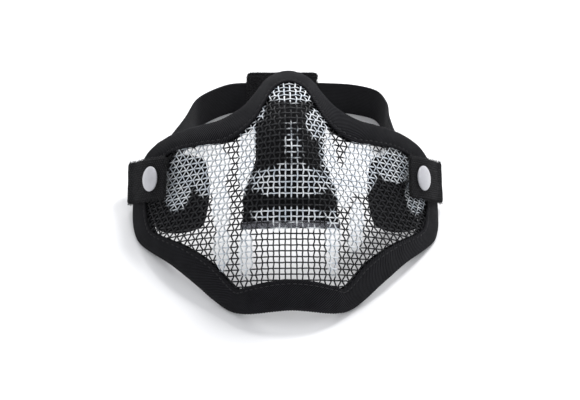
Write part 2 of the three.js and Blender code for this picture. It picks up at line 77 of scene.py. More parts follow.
STUD_HEAD_RADIUS, SHANK_RADIUS = 2.9, 1.8
PATCH_LENGTH, PATCH_HEIGHT, PATCH_CORNER = 43, 32, 2.5
LOOP_REACH, TWIST_SHARE = 79, 0.5
GAP, CURVED_GAP, SEAM_GAP = 0.3, 0.5, 1.2
RIM_STEPS = 72
BEHIND_TAPE = -(MESH_THICKNESS / 2 + 2 * GAP + TAPE_THICKNESS)

# How the CAD source leans the mask back to rest on the surface.
REST_TILT = 0.8244118
REST_LIFT = 1.8458713
CHIN_BACK = -81.9177

# ---- sizes of what only Blender shows
FLOOR_GAP = 0.05  # nothing dips below this height
WIRE_RADIUS = 0.42
WIRE_PITCH = 3.05
CHEEK_DENSITY = 0.13  # how much closer the upright wires lie on the cheeks
ROW_ARCH = 0.0008  # how the rows of wire droop towards the cheeks
COLUMN_CRIMP, ROW_CRIMP, SIDE_CRIMP = 0.75, 0.3, 0.38
MESH_INSET = 3.0
HEM_HEIGHT = 3.6
WEAVE_REACH = 135  # stretched length of the weave each side of the middle
TAPE_TOOTH, TAPE_TOOTH_PITCH = 0.4, 1.4
TAPE_EXTRA = 2.0  # the tape shows wider at the lower cheeks
STITCH_PITCH, STITCH_LENGTH, STITCH_RADIUS = 3.0, 2.1, 0.3
TAPE_STEP, FOAM_STEP, BAND_STEP = 0.42, 1.2, 0.9  # between sections along each
FUZZ_LENGTH, FUZZ_RADIUS = 1.1, 0.045
TAB_EDGE_FIBRES, TAB_END_FIBRES = 900, 420
PATCH_FACE_FIBRES, PATCH_EDGE_FIBRES, PATCH_FIBRE_LENGTH = 5200, 1500, 0.9
TABLE_HALF = 2500.0

# The foam's swelling, in metres where it is a length.
FOAM_VOXEL = 0.0011
FOAM_PRESSURE, FOAM_MASS = 4, 0.1
FOAM_STEPS = 20
FOAM_SWELL = 0.0006

OUTLINE = [
    (0, 2), (24, 0), (31, 1), (40, 7), (48, 14), (63, 26), (81, 38), (84.5, 44), (86, 53), (86, 63),
    (84.5, 73), (82, 81), (78, 88), (71, 93.5), (61, 97.5), (48.7, 99.8), (38, 101.5), (30, 105),
    (23.5, 109.5), (17.8, 116), (10.5, 125), (0, 129),
]
CENTRE_LINE = [
    (0, 12), (20, 14), (40, 15), (50, 19.5), (60, 22), (72, 27.5), (82, 29.5), (92, 28.5),
    (102, 25), (112, 17.5), (121, 7), (129, -6),
]
CHEEK_FALL = [(0, 0), (92, 0), (104, 4.5), (114, 11), (122, 18), (129, 25)]
SIDE_CURVE = [
    (0, 2.3), (7, 1.56), (14, 1.22), (26, 0.98), (40, 0.87), (52, 0.92), (62, 1), (72, 1.06),
    (88, 1.05), (100, 1.14), (129, 1.3),
]
RIDGE_WIDTH = [(0, 30), (40, 30), (60, 26), (76, 20), (92, 17.5), (106, 15), (129, 13)]
RIDGE_SQUARENESS = [(0, 4), (52, 4), (76, 2.5), (129, 2.4)]
SIDE_POWER = 2.4

# White spray on the wires, and one weak band of painted highlight along the lining's lower edge: x, u, half
# width, half height, lean in degrees, strength.
SPRAY = {
    "nose_tip": (1, 119, 15, 10, 0, 1.2),
    "nose_left_rim": (-16, 108, 4, 8, 0, 0.8),
    "nose_line": (1, 86, 5, 13, 0, 0.45),
    "left_nose_streak": (-22.5, 84, 4.5, 22, -5, 1.2),
    "right_nose_top": (14, 98, 6.5, 9, 0, 1.1),
    "right_nose_streak": (20, 80, 5, 16, 8, 1.1),
    "right_nose_foot": (27, 66, 6, 12, 8, 1.0),
    "upper_lip": (0, 67.5, 22, 8.5, 0, 1.2),
    "lower_lip": (-1, 50.5, 21, 4, 0, 0.9),
    # painted highlight: a weak white band on the wires along the lining's lower edge, for the light on that
    # edge
    "painted_lining_edge_highlight": (0, 44, 24, 2.5, 0, 0.35),
    "left_cheek": (-43, 77, 11, 15, 0, 1.3),
    "right_cheek": (38, 77, 10, 15, 0, 1.3),
    "left_corner": (-59, 72, 8, 18, -12, 1.2),
    "right_corner": (58, 79, 13, 9, -8, 1.1),
    "right_edge": (72, 65, 7, 12, 0, 1.0),
    "left_cheek_streak": (-36.5, 56, 5, 15, 3, 1.2),
    "left_jaw_streak": (-36, 34, 4.5, 14, 0, 1.0),
    "left_chin_streak": (-23.5, 31, 4, 14, 0, 0.8),
    "right_chin_streak": (22, 36, 4, 19, 0, 1.1),
    "right_jaw_streak": (35, 45, 4.5, 15, -5, 1.0),
}


# ---- the face surface
def smooth(stations, height):
    """The smooth value of a list of (height, value) at each height, straight beyond its ends."""
    at, value = np.array(stations, float).T
    low = np.maximum(np.arange(len(at)) - 1, 0)
    high = np.minimum(np.arange(len(at)) + 1, len(at) - 1)
    slope = (value[high] - value[low]) / (at[high] - at[low])
    h = np.asarray(height, float)
    i = np.clip(np.searchsorted(at, h, side="right") - 1, 0, len(at) - 2)
    span = at[i + 1] - at[i]
    s = np.clip((h - at[i]) / span, 0, 1)
    rise = s * s * (3 - 2 * s)
    ease_in = s * (1 - s) ** 2 * slope[i] * span
    ease_out = s * s * (s - 1) * slope[i + 1] * span
    inside = value[i] * (1 - rise) + value[i + 1] * rise + ease_in + ease_out
    below = slope[0] * np.minimum(h - at[0], 0)
    above = slope[-1] * np.maximum(h - at[-1], 0)
    return inside + below + above


def forward(x, u):
    """Forward height of the face surface."""
    side = smooth(SIDE_CURVE, u) * SIDE_DEPTH * (np.abs(x) / HALF_WIDTH) ** SIDE_POWER
    flat = CHEEK_FORWARD - smooth(CHEEK_FALL, u)
    ridge = smooth(CENTRE_LINE, u) - flat
    across = np.abs(x) / smooth(RIDGE_WIDTH, u)
    return flat - side + ridge * np.exp(-(across ** smooth(RIDGE_SQUARENESS, u)))


def slopes(x, u):
    """How fast the surface climbs along x and along u."""
    step = 0.2
    along_x = (forward(x + step, u) - forward(x - step, u)) / (2 * step)
    along_u = (forward(x, u + step) - forward(x, u - step)) / (2 * step)
    return along_x, along_u


def face_normal(x, u):
    along_x, along_u = slopes(x, u)
    return unit(np.stack([-along_x, -np.ones_like(along_x), -along_u], -1))


def on_face(x, u, out=0.0):
    """Points of the surface moved out along its normal, as (x, -forward, u)."""
    x, u, out = np.broadcast_arrays(np.asarray(x, float), np.asarray(u, float), np.asarray(out, float))
    return np.stack([x, -forward(x, u), u], -1) + face_normal(x, u) * out[..., None]


def unit(vectors):
    return vectors / np.maximum(np.linalg.norm(vectors, axis=-1, keepdims=True), 1e-9)


def row_way(ways):
    """Turns directions from the face frame to the row frame."""
    ways = np.asarray(ways, float)
    c, s = math.cos(REST_TILT), math.sin(REST_TILT)
    y = ways[..., 1] * c + ways[..., 2] * s
    z = -ways[..., 1] * s + ways[..., 2] * c
    return np.stack([ways[..., 0], y, z], -1)


def to_row(points):
    """Turns points from the face frame to the row frame, still in millimetres."""
    return row_way(points) + np.array([0, CHIN_BACK, REST_LIFT])


# ---- curves
def catmull(points, closed=False, per_span=40):
    """A centripetal Catmull-Rom curve through the points, as many short steps."""
    p = np.asarray(points, float)
    count = len(p)
    rows = []
    for i in range(count if closed else count - 1):
        b, c = p[i], p[(i + 1) % count]
        a = p[i - 1] if closed or i > 0 else 2 * b - c
        d = p[(i + 2) % count] if closed or i + 2 < count else 2 * c - b
        t0, t1, t2 = (max(np.linalg.norm(v) ** 0.5, 1e-4) for v in (b - a, c - b, d - c))
        m1 = ((b - a) / t0 - (c - a) / (t0 + t1) + (c - b) / t1) * t1
        m2 = ((c - b) / t1 - (d - b) / (t1 + t2) + (d - c) / t2) * t1
        s = np.linspace(0, 1, per_span, endpoint=False)[:, None]
        ends = (2 * s**3 - 3 * s**2 + 1) * b + (3 * s**2 - 2 * s**3) * c
        rows.append(ends + (s**3 - 2 * s**2 + s) * m1 + (s**3 - s**2) * m2)
    rows.append(p[:1] if closed else p[-1:])
    return np.concatenate(rows)


class Path:
    """A line read by its share of length."""

    def __init__(self, points):
        self.points = points
        steps = np.linalg.norm(np.diff(points, axis=0), axis=1)
        self.at = np.concatenate([[0], np.cumsum(steps)])
        self.length = self.at[-1]

    def point(self, share):
        s = np.asarray(share, float) * self.length
        parts = [np.interp(s, self.at, self.points[:, k]) for k in range(self.points.shape[1])]
        return np.stack(parts, -1)

    def way(self, share):
        s = np.asarray(share, float)
        step = 1e-3
        return unit(self.point(np.clip(s + step, 0, 1)) - self.point(np.clip(s - step, 0, 1)))


def rim_path():
    half = [(float(x), float(u)) for x, u in OUTLINE]
    return Path(catmull(half + [(-x, u) for x, u in half[-2:0:-1]], closed=True))


RIM = rim_path()
MIDDLE = np.array([0, FACE_HEIGHT * 0.47])


def march(turn, sign, reach):
    """Places at each whole millimetre in (or out) from the rim along the surface."""
    t = turn - np.floor(turn)
    point = RIM.point(t)
    along = RIM.way(t)
    square = np.stack([-along[..., 1], along[..., 0]], -1)
    way = unit(square + unit(MIDDLE - point)) * sign
    places = [point]
    for _ in range(reach):
        along_x, along_u = slopes(point[..., 0], point[..., 1])
        climb = along_x * way[..., 0] + along_u * way[..., 1]
        point = point + way / np.hypot(1, climb)[..., None]
        places.append(point)
    return np.stack(places, -2)


def rim_points(turn, inward, out):
    """Points for each turn (n) and each section place (m): inward and out are m long, or n by m."""
    turn = np.asarray(turn, float)
    inward, out = np.broadcast_arrays(np.asarray(inward, float), np.asarray(out, float))
    inward = np.broadcast_to(inward, (len(turn), inward.shape[-1]))
    reach = int(math.ceil(max(inward.max(), 1))) + 1
    places = np.concatenate([march(turn, -1, 3)[:, :0:-1], march(turn, 1, reach)], 1)
    at = inward + 3
    low = np.clip(np.floor(at).astype(int), 0, places.shape[1] - 2)
    share = (at - low)[..., None]
    rows = np.arange(len(turn))[:, None]
    found = places[rows, low] * (1 - share) + places[rows, low + 1] * share
    return on_face(found[..., 0], found[..., 1], out)


# ---- meshes
def make_mesh(name, points, faces, attributes=None):
    """A smooth mesh object from points in row millimetres and an array of four-cornered faces."""
    mesh = bpy.data.meshes.new(name)
    points = np.array(points, float).reshape(-1, 3)
    points[:, 2] = np.maximum(points[:, 2], FLOOR_GAP)
    faces = np.asarray(faces, int).reshape(-1, 4)
    mesh.vertices.add(len(points))
    mesh.vertices.foreach_set("co", (points * 0.001).astype(np.float32).ravel())
    mesh.loops.add(faces.size)
    mesh.loops.foreach_set("vertex_index", faces.astype(np.int32).ravel())
    mesh.polygons.add(len(faces))
    mesh.polygons.foreach_set("loop_start", np.arange(0, faces.size, 4, dtype=np.int32))
    for key, values in (attributes or {}).items():
        values = np.asarray(values, np.float32)
        wide = values.ndim == 2
        attribute = mesh.attributes.new(key, "FLOAT_VECTOR" if wide else "FLOAT", "POINT")
        attribute.data.foreach_set("vector" if wide else "value", values.ravel())
    mesh.update(calc_edges=True)
    mesh.validate()
    turn_outward(mesh)
    mesh.shade_smooth()
    piece = bpy.data.objects.new(name, mesh)
    bpy.context.scene.collection.objects.link(piece)
    return piece


def turn_outward(mesh):
    work = bmesh.new()
    work.from_mesh(mesh)
    bmesh.ops.recalc_face_normals(work, faces=work.faces)
    work.to_mesh(mesh)
    work.free()


def ring_faces(count, size, start=0):
    """Faces between a row of closed loops, each of `size` points."""
    i, k = np.meshgrid(np.arange(count - 1), np.arange(size), indexing="ij")
    here, after = i * size, (k + 1) % size
    faces = np.stack([here + k, here + size + k, here + size + after, here + after], -1)
    return faces.reshape(-1, 4) + start


def grid_faces(rows, columns):
    i, k = np.meshgrid(np.arange(rows - 1), np.arange(columns - 1), indexing="ij")
    a = i * columns + k
    return np.stack([a, a + 1, a + columns + 1, a + columns], -1).reshape(-1, 4)


def with_ends(sections):
    """Closes both ends of a row of sections by drawing them in to their middles."""
    rows = list(sections)
    for end, place in ((rows[0], 0), (rows[-1], len(rows))):
        middle = end.mean(0)
        small = [middle + (end - middle) * share for share in (0.6, 0.02)]
        if place == 0:
            rows = small[::-1] + rows
        else:
            rows = rows + small
    return np.array(rows)


def swept(name, sections, across=None, along=None, extra=None):
    """A closed solid through the sections, with its cloth place (along, across) at each point."""
    full = with_ends(sections)
    count, size = full.shape[:2]
    if along is None:
        middles = sections.mean(1)
        steps = np.linalg.norm(np.diff(middles, axis=0), axis=1)
        along = np.concatenate([[0], np.cumsum(steps)])
    along = np.concatenate([[along[0]] * 2, along, [along[-1]] * 2])
    if across is None:
        loop = np.linalg.norm(np.roll(sections[0], -1, 0) - sections[0], axis=1)
        across = np.concatenate([[0], np.cumsum(loop)[:-1]])
    cloth = np.zeros((count, size, 3))
    cloth[..., 0] = along[:, None]
    cloth[..., 1] = across
    attributes = {"cloth": cloth.reshape(-1, 3)}
    attributes.update(extra or {})
    return make_mesh(name, full, ring_faces(count, size), attributes)


def tubes(lines, normals, radius, sides=6):
    """Points, faces and outward shares of round wires along many lines."""
    points, faces, fronts = [], [], []
    angles = np.arange(sides) * 2 * math.pi / sides
    start = 0
    for line, normal in zip(lines, normals):
        along = unit(np.gradient(line, axis=0))
        across = unit(np.cross(along, normal))
        out = unit(np.cross(across, along))
        thick = np.full(len(line), radius)
        thick[[0, -1]] = radius * 0.4
        ring = out[:, None] * np.cos(angles)[:, None] + across[:, None] * np.sin(angles)[:, None]
        points.append((line[:, None] + ring * thick[:, None, None]).reshape(-1, 3))
        fronts.append(np.tile(np.cos(angles), len(line)))
        faces.append(ring_faces(len(line), sides, start))
        start += len(line) * sides
    return np.concatenate(points), np.concatenate(faces), np.concatenate(fronts)


def wobble(points, size, seed):
    """A smooth random value from -1 to 1 at each point, with features about `size` long."""
    rng = np.random.default_rng(seed)
    ways = unit(rng.normal(size=(6, 3))) * (2 * math.pi / size) * rng.uniform(0.5, 1.3, (6, 1))
    return np.sin(np.asarray(points) @ ways.T + rng.uniform(0, 6, 6)).sum(-1) / 4


# ---- materials
def feed(tree, socket, value):
    if isinstance(value, bpy.types.NodeSocket):
        tree.links.new(value, socket)
    else:
        socket.default_value = value


def node(tree, kind, inputs=None, **settings):
    made = tree.nodes.new(kind)
    for key, value in settings.items():
        setattr(made, key, value)
    for key, value in (inputs or {}).items():
        feed(tree, made.inputs[key], value)
    return made


def calc(tree, operation, a, b=0.0):
    return node(tree, "ShaderNodeMath", {0: a, 1: b}, operation=operation).outputs[0]


def scaled(tree, value, factor, plus=0.0):
    return calc(tree, "ADD", calc(tree, "MULTIPLY", value, factor), plus)


def blend_colour(tree, share, a, b):
    """a where share is 0 and b where it is 1; each is a socket or three numbers."""
    a, b = (x if isinstance(x, bpy.types.NodeSocket) else (*x, 1) for x in (a, b))
    return node(tree, "ShaderNodeMix", {0: share, 6: a, 7: b}, data_type="RGBA").outputs[2]


def between(tree, value, low, high):
    """0 below low, 1 above high, smooth between."""
    inputs = {0: value, 1: low, 2: high, 3: 0.0, 4: 1.0}
    made = node(tree, "ShaderNodeMapRange", inputs, interpolation_type="SMOOTHSTEP")
    return made.outputs[0]


def new_material(name, roughness, metallic=0.0, specular=0.3, sheen=0.0):
    material = bpy.data.materials.new(name)
    material.use_nodes = True
    tree = material.node_tree
    shader = tree.nodes["Principled BSDF"]
    shader.inputs["Roughness"].default_value = roughness
    shader.inputs["Metallic"].default_value = metallic
    shader.inputs["Specular IOR Level"].default_value = specular
    shader.inputs["Sheen Weight"].default_value = sheen
    shader.inputs["Sheen Roughness"].default_value = 0.4
    return material, tree, shader


def object_place(tree):
    return node(tree, "ShaderNodeTexCoord").outputs["Object"]


def attribute(tree, name):
    return node(tree, "ShaderNodeAttribute", attribute_name=name)


def cover_with(tree, shader, colour, roughness=None):
    tree.links.new(colour, shader.inputs["Base Color"])
    if roughness is not None:
        tree.links.new(roughness, shader.inputs["Roughness"])


def noise(tree, vector, scale, detail=3.0):
    made = node(tree, "ShaderNodeTexNoise", {"Vector": vector, "Scale": scale, "Detail": detail})
    return made.outputs[0]


def cloth_places(tree):
    """The cloth's own place in millimetres: the vector, along and across."""
    read = attribute(tree, "cloth")
    parts = node(tree, "ShaderNodeSeparateXYZ", {0: read.outputs["Vector"]})
    return read.outputs["Vector"], parts.outputs[0], parts.outputs[1]


def wave(tree, value, period):
    """A wave from 0 to 1 with that period."""
    angle = calc(tree, "MULTIPLY", value, 2 * math.pi / period)
    return scaled(tree, calc(tree, "SINE", angle), 0.5, 0.5)


def raise_cloth(tree, shader, height, depth, strength=0.7):
    bump = node(tree, "ShaderNodeBump", {"Strength": strength, "Distance": depth, "Height": height})
    tree.links.new(bump.outputs[0], shader.inputs["Normal"])


def fabric(name, pattern, dark, light, depth=0.0003, roughness=0.9, sheen=0.15):
    """A woven cloth; pattern(tree, along, across) gives its thread height from 0 to 1. The colour is
    lighter on the raised threads and darker between them: painted highlight and painted shade of the weave.
    """
    material, tree, shader = new_material(name, roughness, specular=0.1, sheen=sheen)
    place, along, across = cloth_places(tree)
    threads = pattern(tree, along, across)
    worn = noise(tree, place, 0.12)
    fluff = noise(tree, place, 1.6, 6.0)
    # painted highlight and shade: lit grows with thread height, so raised threads are coloured lighter and
    # the grooves darker; worn varies it at random
    lit = calc(tree, "MULTIPLY", threads, calc(tree, "ADD", worn, 0.35))
    base = blend_colour(tree, lit, dark, light)
    specks = scaled(tree, between(tree, fluff, 0.66, 0.74), 0.35)
    cover_with(tree, shader, blend_colour(tree, specks, base, [c * 2.2 for c in light]))
    raise_cloth(tree, shader, scaled(tree, fluff, 0.6, threads), depth)
    return material


def twill(tree, along, across):
    return wave(tree, calc(tree, "ADD", along, across), 1.25)


def ribs(tree, along, across):
    weft = scaled(tree, wave(tree, along, 0.8), 0.3)
    return scaled(tree, wave(tree, across, 1.1), 0.7, weft)


def webbing_weave(tree, along, across):
    shifted = scaled(tree, wave(tree, across, 2.4), 1.2, along)
    return calc(tree, "MULTIPLY", wave(tree, shifted, 2.0), wave(tree, across, 1.2))


def knit(tree, along, across):
    return calc(tree, "MULTIPLY", wave(tree, along, 0.9), wave(tree, across, 0.7))


def plush(tree, along, across):
    together = node(tree, "ShaderNodeCombineXYZ", {0: along, 1: across})
    return between(tree, noise(tree, together.outputs[0], 0.9, 8.0), 0.35, 0.7)


def wire_material():
    """Black-dipped steel wire with white spray on the front of it, thin and patchy at its edges."""
    material, tree, shader = new_material("painted_wire", 0.42, specular=0.25)
    paint = attribute(tree, "paint").outputs["Fac"]
    front = attribute(tree, "front").outputs["Fac"]
    place = object_place(tree)
    cloud = noise(tree, place, 190.0, 3.0)
    grain = noise(tree, place, 1500.0, 4.0)
    drift = scaled(tree, cloud, 1.4, -0.7)
    speckle = scaled(tree, grain, 0.7, -0.35)
    field = calc(tree, "ADD", calc(tree, "ADD", paint, drift), speckle)
    cover = calc(tree, "MULTIPLY", between(tree, field, 0.12, 0.62), between(tree, front, 0.1, 0.75))
    white = blend_colour(tree, between(tree, cloud, 0.4, 0.6), (0.6, 0.65, 0.71), (0.8, 0.83, 0.86))
    black = blend_colour(tree, grain, (0.006, 0.006, 0.007), (0.022, 0.023, 0.026))
    cover_with(tree, shader, blend_colour(tree, cover, black, white), scaled(tree, cover, 0.25, 0.4))
    raise_cloth(tree, shader, grain, 0.0001, 0.4)
    return material


def cap_material():
    """Pale grey enamel with fine scratches and darker scuff marks."""
    material, tree, shader = new_material("cap_enamel", 0.25, specular=0.6)
    place = object_place(tree)
    clouds = noise(tree, place, 220.0, 4.0)
    scratches = node(tree, "ShaderNodeTexNoise", {"Vector": place, "Scale": 900.0, "Distortion": 2.5})
    scuffs = scaled(tree, between(tree, scratches.outputs[0], 0.62, 0.7), 0.4)
    base = blend_colour(tree, clouds, (0.36, 0.36, 0.38), (0.5, 0.5, 0.53))
    marked = blend_colour(tree, scuffs, base, (0.28, 0.28, 0.3))
    cover_with(tree, shader, marked, scaled(tree, clouds, 0.25, 0.1))
    raise_cloth(tree, shader, scratches.outputs[0], 0.00008, 0.25)
    return material


def steel_material():
    """Nickelled steel, a little tarnished."""
    material, tree, shader = new_material("snap_steel", 0.35, metallic=1.0)
    place = object_place(tree)
    tarnish = noise(tree, place, 350.0, 5.0)
    colour = blend_colour(tree, tarnish, (0.42, 0.42, 0.43), (0.66, 0.66, 0.67))
    cover_with(tree, shader, colour, scaled(tree, tarnish, 0.3, 0.2))
    raise_cloth(tree, shader, tarnish, 0.00005, 0.3)
    return material


def thread_material(name, dark, light):
    """Twisted thread: fine slanting strands."""
    material, tree, shader = new_material(name, 0.75, specular=0.25, sheen=0.1)
    place = object_place(tree)
    strand = noise(tree, place, 2500.0, 2.0)
    cover_with(tree, shader, blend_colour(tree, strand, dark, light))
    raise_cloth(tree, shader, strand, 0.0001, 0.5)
    return material


WIRE = wire_material()
TAPE = fabric("binding_twill", twill, (0.0015, 0.0015, 0.002), (0.022, 0.022, 0.026), 0.0009, sheen=0.02)
ELASTIC = fabric("elastic_ribs", ribs, (0.008, 0.008, 0.009), (0.022, 0.022, 0.025), 0.0003, 0.8, 0.05)
WEBBING = fabric(
    "webbing_fuzzy", webbing_weave, (0.002, 0.002, 0.0025), (0.013, 0.013, 0.016), 0.0008, sheen=0.03
)
LINING = fabric("lining_knit", knit, (0.007, 0.007, 0.008), (0.016, 0.016, 0.018), 0.0002)
# painted highlight: the strip along the black lining's lower edge is grey to stand for the light on that
# edge
PAINTED_HEM_HIGHLIGHT = fabric("hem_painted_highlight", twill, (0.2, 0.2, 0.23), (0.4, 0.4, 0.45), 0.0003)
FOAM = fabric("foam_cloth", knit, (0.01, 0.01, 0.011), (0.022, 0.022, 0.024), 0.0003)
PILE = fabric("pile", plush, (0.006, 0.006, 0.007), (0.03, 0.03, 0.033), 0.0009, 0.95, 0.08)
CAP = cap_material()
STEEL = steel_material()
THREAD = thread_material("sewing_thread", (0.008, 0.008, 0.009), (0.03, 0.03, 0.033))
FIBRE = thread_material("loose_fibre", (0.01, 0.01, 0.011), (0.035, 0.035, 0.038))


def dress(piece, material, body=None):
    """Gives the piece its material and slot, and its body if it rides on one."""
    piece.data.materials.append(material)
    if body:
        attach(piece, body)
    return piece


# ---- woven wire
def damped(slope, step, damping, closer=0.0):
    """Length along a line whose climb counts only in part: the stamped mesh has stretched."""
    rate = np.sqrt(1 + damping * slope**2) * step * (1 + closer)
    return np.concatenate([[0], np.cumsum((rate[1:] + rate[:-1]) / 2)])


def weave_levels():
    heights = np.arange(-8, 136, 0.25)
    climb = slopes(np.zeros_like(heights), heights)[1]
    length = damped(climb, 0.25, 0.45)
    return np.interp(np.arange(0, length[-1], WIRE_PITCH / 2), length, heights)


def weave_places():
    """Places x, u of every crossing and half crossing: rows up the face, columns across it."""
    levels = weave_levels()[:, None]
    x = np.arange(-100, 100.1, 0.5)[None, :]
    u = levels - ROW_ARCH * x**2
    along_x, along_u = slopes(np.broadcast_to(x, u.shape), u)
    climb = along_x - along_u * 2 * ROW_ARCH * x
    half = int(2 * WEAVE_REACH / WIRE_PITCH)
    wanted = (np.arange(2 * half + 1) - half) * WIRE_PITCH / 2
    middle = x.shape[1] // 2
    places = []
    for row, slope in enumerate(climb):
        length = damped(slope, 0.5, 0.9, CHEEK_DENSITY * np.clip((np.abs(x[0]) - 14) / 14, 0, 1))
        at = np.interp(wanted, length - length[middle], x[0])
        places.append(np.stack([at, levels[row] - ROW_ARCH * at**2], -1))
    return np.array(places)


def inside_rim(places):
    """True where a place lies inside the rim by the mesh's inset and clear of the snap holes."""
    turns = np.linspace(0, 1, 220, endpoint=False)
    fence = march(turns, 1, int(MESH_INSET))[:, -1]
    ends = np.roll(fence, -1, 0)
    x, u = places[..., 0], places[..., 1]
    inside = np.zeros(x.shape, bool)
    for (x0, u0), (x1, u1) in zip(fence, ends):
        crosses = (u0 > u) != (u1 > u)
        height = np.where(u1 == u0, 1e-9, u1 - u0)
        inside ^= crosses & (x < (x1 - x0) * (u - u0) / height + x0)
    for sign in (-1, 1):
        inside &= np.hypot((x - sign * SNAP_X) * 1.5, u - SNAP_HEIGHT) > SHANK_RADIUS + 1
    return inside


def spray_at(x, u):
    """How deep each place lies in the sprayed areas: about 1 in them, below 0 outside."""
    best = np.full(x.shape, -1.0)
    for cx, cu, half_x, half_u, lean, strength in SPRAY.values():
        c, s = math.cos(math.radians(lean)), math.sin(math.radians(lean))
        dx, du = x - cx, u - cu
        far = np.hypot((dx * c + du * s) / half_x, (du * c - dx * s) / half_u)
        best = np.maximum(best, strength * np.clip(2.2 * (1.12 - far), -1, 1))
    return best


def mesh_wires():
    """The painted woven mesh: every wire runs over and under the ones that cross it."""
    places = weave_places()
    rows, columns = places.shape[:2]
    rng = np.random.default_rng(7)
    places = places + rng.normal(scale=0.07, size=places.shape)
    inside = inside_rim(places)
    a, b = np.meshgrid(np.arange(rows), np.arange(columns), indexing="ij")
    turn = np.cos(math.pi * (a + b) / 2)
    normal = face_normal(places[..., 0], places[..., 1])
    paint = spray_at(places[..., 0], places[..., 1])
    lines, normals, paints = [], [], []

    def add(index, crimp):
        """Adds each unbroken run of one wire."""
        keep = inside[index]
        edges = np.flatnonzero(np.diff(np.concatenate([[0], keep.astype(int), [0]])))
        for first, last in zip(edges[::2], edges[1::2]):
            if last - first < 3:
                continue
            spot = places[index][first:last].copy()
            lift = crimp * turn[index][first:last]
            if crimp < 0:
                spot[:, 0] += SIDE_CRIMP * np.clip(spot[:, 0] / 25, -1, 1) * lift / COLUMN_CRIMP
            lines.append(to_row(on_face(spot[:, 0], spot[:, 1], lift)))
            normals.append(row_way(normal[index][first:last]))
            paints.append(paint[index][first:last])

    for row in range(0, rows, 2):
        add(np.s_[row, :], ROW_CRIMP)
    for column in range(0, columns, 2):
        add(np.s_[:, column], -COLUMN_CRIMP)
    points, faces, fronts = tubes(lines, normals, WIRE_RADIUS)
    attributes = {"paint": np.repeat(np.concatenate(paints), 6), "front": fronts}
    piece = make_mesh("mesh_wires", points, faces, attributes)
    dress(piece, WIRE, "mask")
    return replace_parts(piece, "mesh_shell")


# ---- folded tape round the rim
def nearest_step(measure):
    """The turn, out of the rim's steps on one side, at which the measure is least."""
    step = min(range(RIM_STEPS // 2), key=lambda i: measure(*RIM.point(i / RIM_STEPS)))
    return step / RIM_STEPS


def off_the_snap(x, u):
    return abs(u - SNAP_HEIGHT) + (HALF_WIDTH if x < HALF_WIDTH / 2 else 0)


def off_the_nose(x, u):
    return abs(x - HALF_WIDTH * 0.42) + max(0, FACE_HEIGHT * 0.7 - u)


JOIN_TURN = nearest_step(off_the_snap)  # where the tapes meet, under the tabs
NOSE_TURN = nearest_step(off_the_nose)  # where the cheek foam ends


def tape_width(turn):
    """The tape shows wider along the lower cheeks, where it is pulled round the bend."""
    t = np.abs(turn - np.round(turn))
    place = RIM.point(t)
    low = np.clip(1 - np.abs(place[..., 0] - 56) / 26, 0, 1) * (place[..., 1] < SNAP_HEIGHT)
    return TAPE_WIDTH + TAPE_EXTRA * low * low * (3 - 2 * low)


def tape_section(width):
    """Places (inward, out) round the folded tape: front face, fold, back face and the inside."""
    face = [
        (width, 0.95), (width + 0.15, 1.35), (width - 0.1, 1.8), (width - 0.8, 1.98), (width - 1.5, 1.9),
        (width - 2.0, 1.72), (width - 2.5, 1.9), (width - 3.4, 2.08), (width * 0.6, 2.2),
        (width * 0.45, 2.2), (width * 0.3, 2.16), (width * 0.15, 2.1), (0.9, 1.95), (-0.3, 1.65),
        (-1.05, 0.95), (-1.4, 0.4),
    ]
    hollow = [(width * 0.7, -0.9), (width * 0.3, -0.9), (0.2, -0.5)]
    back = [(inward, -out) for inward, out in reversed(face)]
    return face + [(-1.55, 0)] + back + hollow + [(inward, -out) for inward, out in reversed(hollow)]


def tape(name, first, last, node_name):
    """One run of the folded tape, with toothed selvedge at its fold and slight puckers."""
    count = int((last - first) * RIM.length / TAPE_STEP)
    turns = np.linspace(first, last, count)
    widths = tape_width(turns)
    sections = np.array([tape_section(width) for width in widths])
    inward, out = sections[..., 0], sections[..., 1]
    along = turns * RIM.length
    tooth = np.abs((along / TAPE_TOOTH_PITCH) % 1 - 0.5) * 2 * TAPE_TOOTH
    near_fold = np.clip(1 - (inward + 1.6) / 1.4, 0, 1)
    inward = inward - tooth[:, None] * near_fold
    points = rim_points(turns, inward, out)
    pucker = 0.16 * wobble(points, 9, 3) + 0.1 * wobble(points, 30, 4)
    stitch = 0.12 * np.cos(along * 2 * math.pi / STITCH_PITCH)
    near_stitch = np.clip(1 - np.abs(inward - widths[:, None] + 2) / 1.2, 0, 1)
    outer = np.abs(out) > 1.2
    out = out + np.sign(out) * (pucker + stitch[:, None] * near_stitch) * outer
    points = to_row(rim_points(turns, inward, out))
    run = np.linalg.norm(np.diff(sections[0], axis=0), axis=1)
    across = np.concatenate([[0], np.cumsum(run)])
    piece = swept(name, points, across=across, along=along)
    dress(piece, TAPE, "mask")
    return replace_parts(piece, node_name)


# ---- thread and fibres
def stitch_lines(places, ways, outs, length, radius):
    """Short threads that dip into the cloth at both ends."""
    shares = np.array([-0.5, -0.42, -0.2, 0, 0.2, 0.42, 0.5])
    dips = np.array([-1.6, -0.5, 0.3, 0.45, 0.3, -0.5, -1.6]) * radius
    lines = []
    for place, way, out in zip(places, ways, outs):
        lines.append(place + way * shares[:, None] * length + out * dips[:, None])
    return lines, [np.broadcast_to(out, (7, 3)) for out in outs]


def stitches(name, places, ways, outs, length=STITCH_LENGTH, radius=STITCH_RADIUS):
    lines, normals = stitch_lines(places, ways, outs, length, radius)
    points, faces, _ = tubes(lines, normals, radius)
    return make_mesh(name, points, faces)


